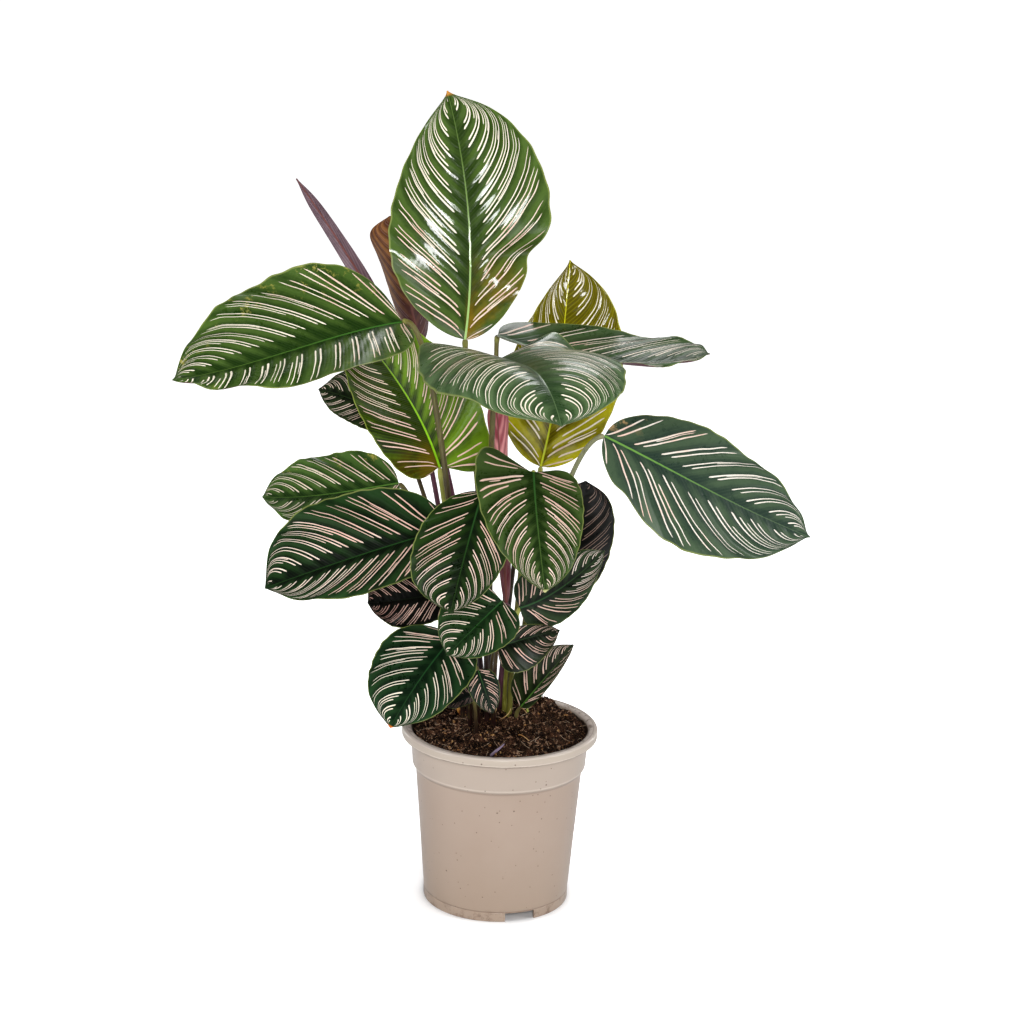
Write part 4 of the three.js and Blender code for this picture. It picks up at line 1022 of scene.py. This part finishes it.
STEP_UP, STEP_ROUND = 6.0, 1.5   # the longest step along the profile, mm, and the step round it, degrees
CLEAR = 0.1                      # how far a notch stops below the pot's floor, mm
FLOOR_INNER = 60                 # all within this radius is floor and not foot, mm
half_notch = math.degrees(math.asin(NOTCHES["width"] / 2 / FOOT["outer"]))
edges = [a + s * half_notch + d for a in NOTCHES["angles"] for s in (-1, 1) for d in (-0.02, 0.02)]
degrees = np.unique(np.concatenate([np.arange(0, 360, STEP_ROUND), np.mod(edges, 360)]))
line = split_long(pot_line, STEP_UP)
rings, poles, faces = turn_profile(line, np.radians(degrees - 90))
for a in NOTCHES["angles"]:
    gap = np.abs((degrees - a + 180) % 360 - 180) < half_notch
    outside = np.hypot(rings[..., 0], rings[..., 1]) > FLOOR_INNER
    foot = (rings[..., 2] < FOOT["height"] - CLEAR) & outside & gap[None, :]
    rings[..., 2] = np.where(foot, FOOT["height"] - CLEAR, rings[..., 2])
pot_points = np.concatenate([rings.reshape(-1, 3), poles])
lip_top = int(np.argmin(np.hypot(line[:, 0] - RIM["inner"], line[:, 1] - RIM["top"] + LIP_DOWN)))
inner = np.append(np.repeat(np.arange(1, len(line) - 1) > lip_top, len(degrees)), [False, True]).astype(float)
print("pot:", len(pot_points), "points")

# %% [markdown]
# ## Pot plastic
# Taupe polypropylene is satin, a little cloudy, and never clean: peat dust sits on it as fine dark
# specks, smears lie along the rim, and soil stains the foot in patches. The wall is painted darker towards
# the bottom, as painted shade. The band, the rim and its top are painted lighter in steps than the wall,
# as painted light, and thin lines along the ledges, painted highlights above and painted shade below, make
# them crisp. A line under the rim is painted shade mottled with dirt, and soil and painted shade darken
# the inside of the rim.

# %% Pot material
# from, to (metres up) and colour of the plastic above, each laid over the one below it: painted light, lighter in
# steps on the band, the rim and its top
PAINTED_LIGHT_TAUPES = [(0.1335, 0.138, "#b4a598"), (0.1655, 0.1672, "#baad9f"), (0.1738, 0.1748, "#c8bcb1")]
# the third colour darkens the lower wall towards the bottom: painted shade
BODY_LOW, BODY_HIGH, SHADED_TAUPE = "#a59080", "#b09e90", "#9c8875"
# painted highlight and painted shade for the ledge lines, dust, soil mixed with painted shade under the rim, and
# soil mixed with painted shade inside the rim
PAINTED_HIGHLIGHT, PAINTED_SHADE_LINE, DUST, DIRT_AND_SHADE, INNER_DIRT_AND_SHADE = "#e2d6ca", "#7d6858", "#5f4a3c", "#6b5344", "#33251d"
SPECKS = [(190.0, 0.035, 0.2), (420.0, 0.03, 0.3), (110.0, 0.012, 0.13)]   # cells in a metre, share, size
LIP = (0.1725, 0.1748)     # metres up: where the rim's rounded top begins and ends
# height (or radius, for the groove in the rim's top), core, reach and strength of the lines, metres: the lit lines
# are painted highlights, the dark lines and the groove painted shade, and the line under the rim painted shade
# mottled with dirt
LIT_LEDGES = [(0.1388, 0.0004, 0.0013, 0.3), (0.1684, 0.0002, 0.0008, 0.5)]
DARK_LEDGES = [(0.1352, 0.0004, 0.0018, 0.35), (0.0098, 0.0003, 0.0009, 0.6)]
GROOVE, RIM_SHADE_AND_DIRT = (0.0912, 0.0003, 0.0009, 0.4), (0.1674, 0.0003, 0.0012, 1.0)


def pot_material():
    """Taupe with cloudy variation, painted light and shade on the wall, rim and ledges, dark specks, and soil
    along the rim, foot and inside.
    """
    material, wires, shader = new_material("taupe_plastic")
    m = wires.math
    where = wires.place()
    height = wires.tree.nodes.new("ShaderNodeSeparateXYZ")
    wires.feed(height.inputs[0], where)
    x, y, z = height.outputs
    cloud = wires.noise(14.0, 4.0, 0.55)
    colour = wires.mix(cloud, paint(BODY_LOW), paint(BODY_HIGH))
    # painted shade: the wall darker towards the bottom
    colour = wires.mix(wires.step(z, 0.0, 0.11, 0.55, 0.0), colour, paint(SHADED_TAUPE))
    # painted light: band, rim and rim top lighter in steps
    for low, high, taupe in PAINTED_LIGHT_TAUPES:
        colour = wires.mix(wires.step(z, low, high), colour, paint(taupe))

    def specks(scale, share, size):
        """Dots: cells of a Voronoi pattern whose random colour is under a share, inside a radius."""
        cells = wires.tree.nodes.new("ShaderNodeTexVoronoi")
        wires.feed(cells.inputs["Vector"], where)
        cells.inputs["Scale"].default_value = scale
        chance = wires.add("ShaderNodeSeparateColor", {0: cells.outputs["Color"]})
        dot = wires.step(cells.outputs["Distance"], size * 0.6, size, 1.0, 0.0)
        return m("MULTIPLY", m("LESS_THAN", chance, share), dot)

    fine, finer, coarse = (specks(*row) for row in SPECKS)
    dirt = m("MAXIMUM", m("MAXIMUM", fine, finer), coarse)
    radius = m("SQRT", m("ADD", m("MULTIPLY", x, x), m("MULTIPLY", y, y)))
    lip = m("MULTIPLY", wires.step(z, *LIP), wires.step(radius, 0.0922, 0.0885, 0.0, 0.8))
    smear = m("MULTIPLY", lip, wires.step(wires.noise(130.0, 5.0, 0.75), 0.5, 0.6))
    groove = m("MULTIPLY", wires.step(z, *LIP), wires.near(radius, *GROOVE))
    grime = m("MULTIPLY", wires.step(z, 0.004, 0.014, 1.0, 0.0),
              wires.step(wires.noise(70.0, 6.0, 0.8), 0.48, 0.6, 0.0, 0.65))
    # painted shade along the rim's lower edge, mottled with dirt
    rim_shade_and_dirt = m("MULTIPLY", wires.near(z, *RIM_SHADE_AND_DIRT),
                  wires.step(wires.noise(60.0, 4.0, 0.7), 0.4, 0.6, 0.25, 0.9))
    # painted highlights along the ledges, and painted shade under them, in the foot's step and in the rim's groove
    lit = m("MAXIMUM", *(wires.near(z, *row) for row in LIT_LEDGES))
    shut = m("MAXIMUM", groove, m("MAXIMUM", *(wires.near(z, *row) for row in DARK_LEDGES)))
    colour = wires.mix(lit, colour, paint(PAINTED_HIGHLIGHT))
    colour = wires.mix(shut, colour, paint(PAINTED_SHADE_LINE))
    colour = wires.mix(m("MULTIPLY", dirt, 0.8), colour, paint(DUST))
    colour = wires.mix(m("MAXIMUM", m("MAXIMUM", smear, grime), rim_shade_and_dirt), colour, paint(DIRT_AND_SHADE))
    # inside the rim: soil and painted shade, darkest below the soil's level
    ragged_level = m("ADD", z, m("MULTIPLY", wires.noise(90.0, 4.0, 0.7), -0.012))
    inner_dirt_and_shade = m("MULTIPLY", wires.attribute("inner"), wires.step(ragged_level, 0.1655, 0.1675, 1.0, 0.15))
    colour = wires.mix(inner_dirt_and_shade, colour, paint(INNER_DIRT_AND_SHADE))
    wires.feed(shader.inputs["Base Color"], colour)
    wires.feed(shader.inputs["Roughness"], m("MULTIPLY_ADD", cloud, 0.1, 0.24))
    relief = m("ADD", m("MULTIPLY", wires.noise(300.0, 3.0, 0.6), 0.35), m("MULTIPLY", dirt, 0.8))
    wires.bump(shader, relief, 0.25, 0.0005)
    shader.inputs["Specular IOR Level"].default_value = 0.5
    return material


pot = make_piece("nursery_pot", pot_points, faces, pot_material(), ["pot"], {"inner": inner},
                 sharp=50)
print("pot made of", len(pot.data.polygons), "faces")

# %% [markdown]
# ## Soil
# Peat lies in crumbs of every size. A height over the disc of soil is the sum of a low mound under the
# plant, slow waves, a few lumps and rounded crumbs. For the crumbs, each point looks for the nearest
# crumb centre and lies on that crumb's dome.

# %% Soil surface
# level at the edge, height, middle and spread of the mound, height of the clods, all in millimetres
SOIL = {"edge": 166.5, "mound": 15.0, "x": 12.0, "y": 34.0, "spread": 48.0, "clod": 1.6}
# x, y, spread and height of the lumps that lie against the wall and in front of the stalks
LUMPS = [(44, 58, 12, 9.0), (66, 36, 12, 5.0), (77, 6, 10, 3.0), (-30, -36, 14, 3.0), (34, -44, 12, 3.0)]


def soil_height(x, y):
    """The level of the soil, plus a bell-shaped mound, slow waves for the clods and bell-shaped lumps."""
    mound = np.exp(-((x - SOIL["x"]) ** 2 + (y - SOIL["y"]) ** 2) / SOIL["spread"] ** 2)
    clods = np.sin(0.31 * x + 1.3) * np.sin(0.27 * y + 0.4) + 0.6 * np.sin(0.17 * x - 0.23 * y)
    lump = sum(h * np.exp(-((x - a) ** 2 + (y - b) ** 2) / d**2) for a, b, d, h in LUMPS)
    return SOIL["edge"] + SOIL["mound"] * mound + SOIL["clod"] * clods + lump


def crumbs(x, y, size, seed):
    """Domes on a jittered grid: one minus the squared distance to the nearest centre, each with its own height.

    Centres and heights come from the fraction of a very large sine, which is as good as a random draw.
    """
    gx, gy = np.floor(x / size), np.floor(y / size)
    best, high = np.full(x.shape, 9.0), np.zeros(x.shape)
    for dx in (-1, 0, 1):
        for dy in (-1, 0, 1):
            cx, cy = gx + dx, gy + dy
            h = np.sin(cx * 127.1 + cy * 311.7 + seed * 17.3) * 43758.5453
            jx, jy, jz = h - np.floor(h), (h * 1.7) % 1.0, (h * 2.9) % 1.0
            far = np.hypot(x / size - cx - jx, y / size - cy - jy)
            closer = far < best
            best, high = np.where(closer, far, best), np.where(closer, jz, high)
    return np.clip(1 - best**2, 0, 1) * (0.35 + 0.65 * high)


TURNS, STEPS = 300, 110                                        # points round the disc and across it
DISC = (0.6, 83.4)                                             # radius of its first and its last ring, mm
CRUMB_SIZES = [(3.4, 9.0, 1), (2.2, 4.6, 2), (1.2, 2.3, 3)]    # height and size, mm, and the draw's number
SINK = 2.4                                                     # how far the crumbs are let in, mm
CALM_AT, CALM_OVER, CALM_LEAST = 84.4, 6, 0.15   # radius and width, mm, where crumbs shrink to this share
angle = np.linspace(0, 2 * np.pi, TURNS, endpoint=False)
R, A = np.meshgrid(np.linspace(*DISC, STEPS), angle, indexing="ij")
X, Y = R * np.cos(A), R * np.sin(A)
crumb = sum(high * crumbs(X, Y, size, seed) for high, size, seed in CRUMB_SIZES) - SINK
crumb = crumb * np.clip((CALM_AT - R) / CALM_OVER, CALM_LEAST, 1)
Z = soil_height(X, Y) + crumb
top_rings = np.stack([X, Y, Z], -1)
wall = np.array([[84.3, 160], [82.0, 138.5], [78.6, 132], [69.0, 13], [67.6, 10.9]])   # radius and height
wall_rings = np.stack([wall[:, :1] * np.cos(angle), wall[:, :1] * np.sin(angle), wall[:, 1:] + 0 * angle], -1)
soil_points = np.concatenate([top_rings.reshape(-1, 3), wall_rings.reshape(-1, 3),
                              [[0, 0, float(Z[0].mean())], [0, 0, float(wall[-1, 1])]]])
rows = STEPS + len(wall)
soil_faces = [grid_faces(rows, TURNS, wrap=True, flip=True), *end_fans(rows, TURNS, flip=True)]
print("soil:", len(soil_points), "points, highest", round(float(Z.max()), 1), "mm")

# %% Soil material
def soil_material(name, dark, mid, light, share=0.6):
    """Dark ground as painted shade in hollows and patches, mid crumbs, and light grains where a fine noise passes
    the share.
    """
    material, wires, shader = new_material(name)
    m = wires.math
    big, small = wires.noise(190.0, 5.0, 0.7), wires.noise(900.0, 3.0, 0.7)
    # painted shade: darkest in the bump's hollows and in large patches
    colour = wires.mix(wires.step(big, 0.4, 0.66), paint(dark), paint(mid))
    colour = wires.mix(wires.step(wires.noise(60.0, 3.0, 0.6), 0.42, 0.64, 0.92, 0.0), colour, paint(dark))
    colour = wires.mix(wires.step(small, share, share + 0.1, 0.0, 0.75), colour, paint(light))
    wires.feed(shader.inputs["Base Color"], colour)
    wires.feed(shader.inputs["Roughness"], m("MULTIPLY_ADD", small, -0.25, 0.98))
    wires.bump(shader, m("ADD", m("MULTIPLY", big, 0.8), m("MULTIPLY", small, 0.5)), 0.9, 0.0016)
    shader.inputs["Specular IOR Level"].default_value = 0.06
    return material


# the near-black first colour is painted shade between the crumbs
peat = soil_material("peat", "#070302", "#573b2c", "#e6b284", 0.59)
soil = make_piece("peat_soil", soil_points, soil_faces, peat, ["soil"], sharp=0)
print("soil made of", len(soil.data.polygons), "faces")

# %% [markdown]
# ## Loose crumbs, chips and fibres
# On the soil lie lumps of peat, dark and pale chips of bark and thin curly fibres, and a few roots and a
# dry sheath stand by the stalks. Each kind of crumb is one small shape, repeated with its own size, turn
# and bend. All copies are worked out at once by multiplying the shape's points with an array of turns,
# so a thousand crumbs cost a few lines. The roots and the sheath are tubes, as the sprouts are.

# %% Scatter
draw = np.random.default_rng(7)


def spots(count, reach, lift):
    """Random places on the soil: the square root of an even draw gives an even spread over the disc."""
    r, a = reach * np.sqrt(draw.uniform(0, 1, count)), draw.uniform(0, 2 * np.pi, count)
    x, y = r * np.cos(a), r * np.sin(a)
    return np.stack([x, y, soil_height(x, y) + lift], -1)


def turns_of(count):
    """Random rotations from unit quaternions, as one array of three by three matrices."""
    q = draw.normal(size=(count, 4))
    w, x, y, z = (q / np.linalg.norm(q, axis=1, keepdims=True)).T
    return np.stack([1 - 2 * (y * y + z * z), 2 * (x * y - z * w), 2 * (x * z + y * w),
                     2 * (x * y + z * w), 1 - 2 * (x * x + z * z), 2 * (y * z - x * w),
                     2 * (x * z - y * w), 2 * (y * z + x * w), 1 - 2 * (x * x + y * y)], -1).reshape(-1, 3, 3)


def copies(name, points, faces, material):
    """Writes many copies of one shape, given as copies by points, into one piece of the soil."""
    points_each = points[0].size // 3
    shift = np.arange(len(points))[:, None, None] * points_each
    all_faces = [(f[None] + shift).reshape(-1, f.shape[1]) for f in faces]
    make_piece(name, points.reshape(-1, 3), all_faces, material, sharp=0)


def scatter(name, places, sizes, material):
    """Copies a rough ball to every place, with its own size along each axis, its own lumps and its own turn."""
    turn = turns_of(len(places))
    lumps = 1 + draw.uniform(-LUMPY, LUMPY, (len(places), len(ball_points), 1))
    shapes = ball_points[None] * lumps * sizes[:, None, :]
    copies(name, np.einsum("nij,nkj->nki", turn, shapes) + places[:, None], ball_faces, material)


BALL_RINGS, BALL_SIDES = 5, 8
LUMPY = 0.18        # how far a crumb's points are moved in or out, as a share of its size
CRUMB_REACH = 81    # crumbs and chips lie within this radius, mm
lat = np.linspace(-np.pi / 2, np.pi / 2, BALL_RINGS + 2)[1:-1, None]
lon = np.linspace(0, 2 * np.pi, BALL_SIDES, endpoint=False)
circles = np.stack([np.cos(lat) * np.cos(lon), np.cos(lat) * np.sin(lon), np.sin(lat) + 0 * lon], -1)
ball_points = np.concatenate([circles.reshape(-1, 3), [[0, 0, -1], [0, 0, 1]]])
ball_faces = [grid_faces(BALL_RINGS, BALL_SIDES, wrap=True), *end_fans(BALL_RINGS, BALL_SIDES)]
many = 1500
scatter("peat_crumbs", spots(many, CRUMB_REACH, 0.6),
        draw.uniform(0.7, 2.4, (many, 1)) * draw.uniform(0.6, 1.2, (many, 3)), peat)
print(many, "crumbs")

# %% Chips of bark
def chip_sizes(count, *ranges):
    """Random length, width and height of every chip, each within its own range in millimetres."""
    return np.stack([draw.uniform(low, high, count) for low, high in ranges], -1)


chip_look = soil_material("bark_chips", "#6a4c38", "#a88468", "#e0bc9c", 0.5)
few = 520
flat = chip_sizes(few, (0.6, 2.6), (0.4, 1.3), (0.3, 0.8))
scatter("bark_chips", spots(few, CRUMB_REACH, 1.6), flat, chip_look)
print(few, "chips")

# %% Fibres and thin roots
FIBRE_STEPS, FIBRE_SIDES = 9, 5
FIBRE_REACH, FIBRE_LIFT = 80.0, 1.8   # how far from the axis they lie, and how high above the soil, mm
LEVEL = 0.28                          # how far they tilt from lying flat, radians, in most cases


def fibres(name, count, length, radius, material):
    """Thin curved threads: each is a parabola in its own turned plane, with a round section that tapers."""
    t = np.linspace(-1, 1, FIBRE_STEPS)
    bend = draw.uniform(-0.5, 0.5, (count, 2))
    size = draw.uniform(*length, count)[:, None]
    line = np.stack([t * size / 2, bend[:, :1] * size * t**2, 0.3 * bend[:, 1:] * size * (t**3 + 0.6 * t**2)], -1)
    line = line - line.mean(1, keepdims=True)
    spin = draw.uniform(0, 2 * np.pi, count)
    tilt = draw.normal(0, LEVEL, count)
    cs, sn, ct, st = np.cos(spin), np.sin(spin), np.cos(tilt), np.sin(tilt)
    turn = np.stack([cs * ct, -sn, -cs * st, sn * ct, cs, -sn * st, st, 0 * cs, ct], -1).reshape(-1, 3, 3)
    line = np.einsum("nij,nkj->nki", turn, line) + spots(count, FIBRE_REACH, FIBRE_LIFT)[:, None]
    along = np.gradient(line, axis=1)
    along /= np.linalg.norm(along, axis=2, keepdims=True)
    side = np.cross(along, [0.1, 0.2, 1.0])
    side /= np.linalg.norm(side, axis=2, keepdims=True)
    up = np.cross(along, side)
    a = np.linspace(0, 2 * np.pi, FIBRE_SIDES, endpoint=False)
    fat = (radius * (1.05 - t**4))[None, :, None, None]
    ring = line[:, :, None] + fat * (np.cos(a)[:, None] * side[:, :, None] + np.sin(a)[:, None] * up[:, :, None])
    end = np.arange(FIBRE_SIDES)[None]
    faces = [grid_faces(FIBRE_STEPS, FIBRE_SIDES, wrap=True), end[:, ::-1], end + (FIBRE_STEPS - 1) * FIBRE_SIDES]
    copies(name, ring, faces, material)


fibres("dark_fibres", 260, (6, 20), 0.22, soil_material("dark_fibre", "#2c1c15", "#7a5844", "#b89278"))
fibres("tan_fibres", 130, (5, 17), 0.2, soil_material("tan_fibre", "#8a6850", "#c8a488", "#ecd8bc", 0.45))
print("fibres laid")

# %% Pale chips, curled roots and a papery sheath at the foot of the stalks
# pale chips in plain sight; the others lie where the draw puts them
PEBBLES = [[-21, -48, 170], [41, -48, 170], [-62, 4, 169], [58, -14, 169]]
pale_places = np.concatenate([np.array(PEBBLES, float), spots(34, 80, 2.0)])
pale_sizes = chip_sizes(len(pale_places), (1.2, 2.4), (0.9, 1.6), (0.6, 1.1))
scatter("pale_chips", pale_places, pale_sizes, soil_material("pale_chip", "#7a4c2a", "#b8844e", "#ecc88e", 0.5))
# the same columns as for the sprouts
BITS = [
    ["papery_sheath", [-39, 41, 167], [0, -1, 5], [1, 0, -5], [-43.5, 41, 182], 2.6, 1.0, "#6a2c16", "#e0a048"],
    ["root_left", [-6, 9, 174], [-1, 0, 6], [0, 0, -6], [-3.5, 9, 192], 0.5, 0.3, "#a8743c", "#e8c088"],
    ["root_arch", [-4, 8, 176], [5, -1, 2], [-1, 0, -7], [10, 9, 189], 0.55, 0.3, "#a8743c", "#e8c088"],
    ["root_right", [21, 24, 184], [2, -1, 2], [-2, 1, 2], [29, 18, 177], 0.55, 0.4, "#b48450", "#ecc890"],
    ["root_low", [18, -28, 176], [3, 0, 2], [-2, 1, 2], [31, -34, 170], 0.4, 0.3, "#a8743c", "#e8c088"],
]
for name, *row in BITS:
    small_tube(name, row, BIT_STEPS, np.ones_like)
print(len(BITS), "bits laid")
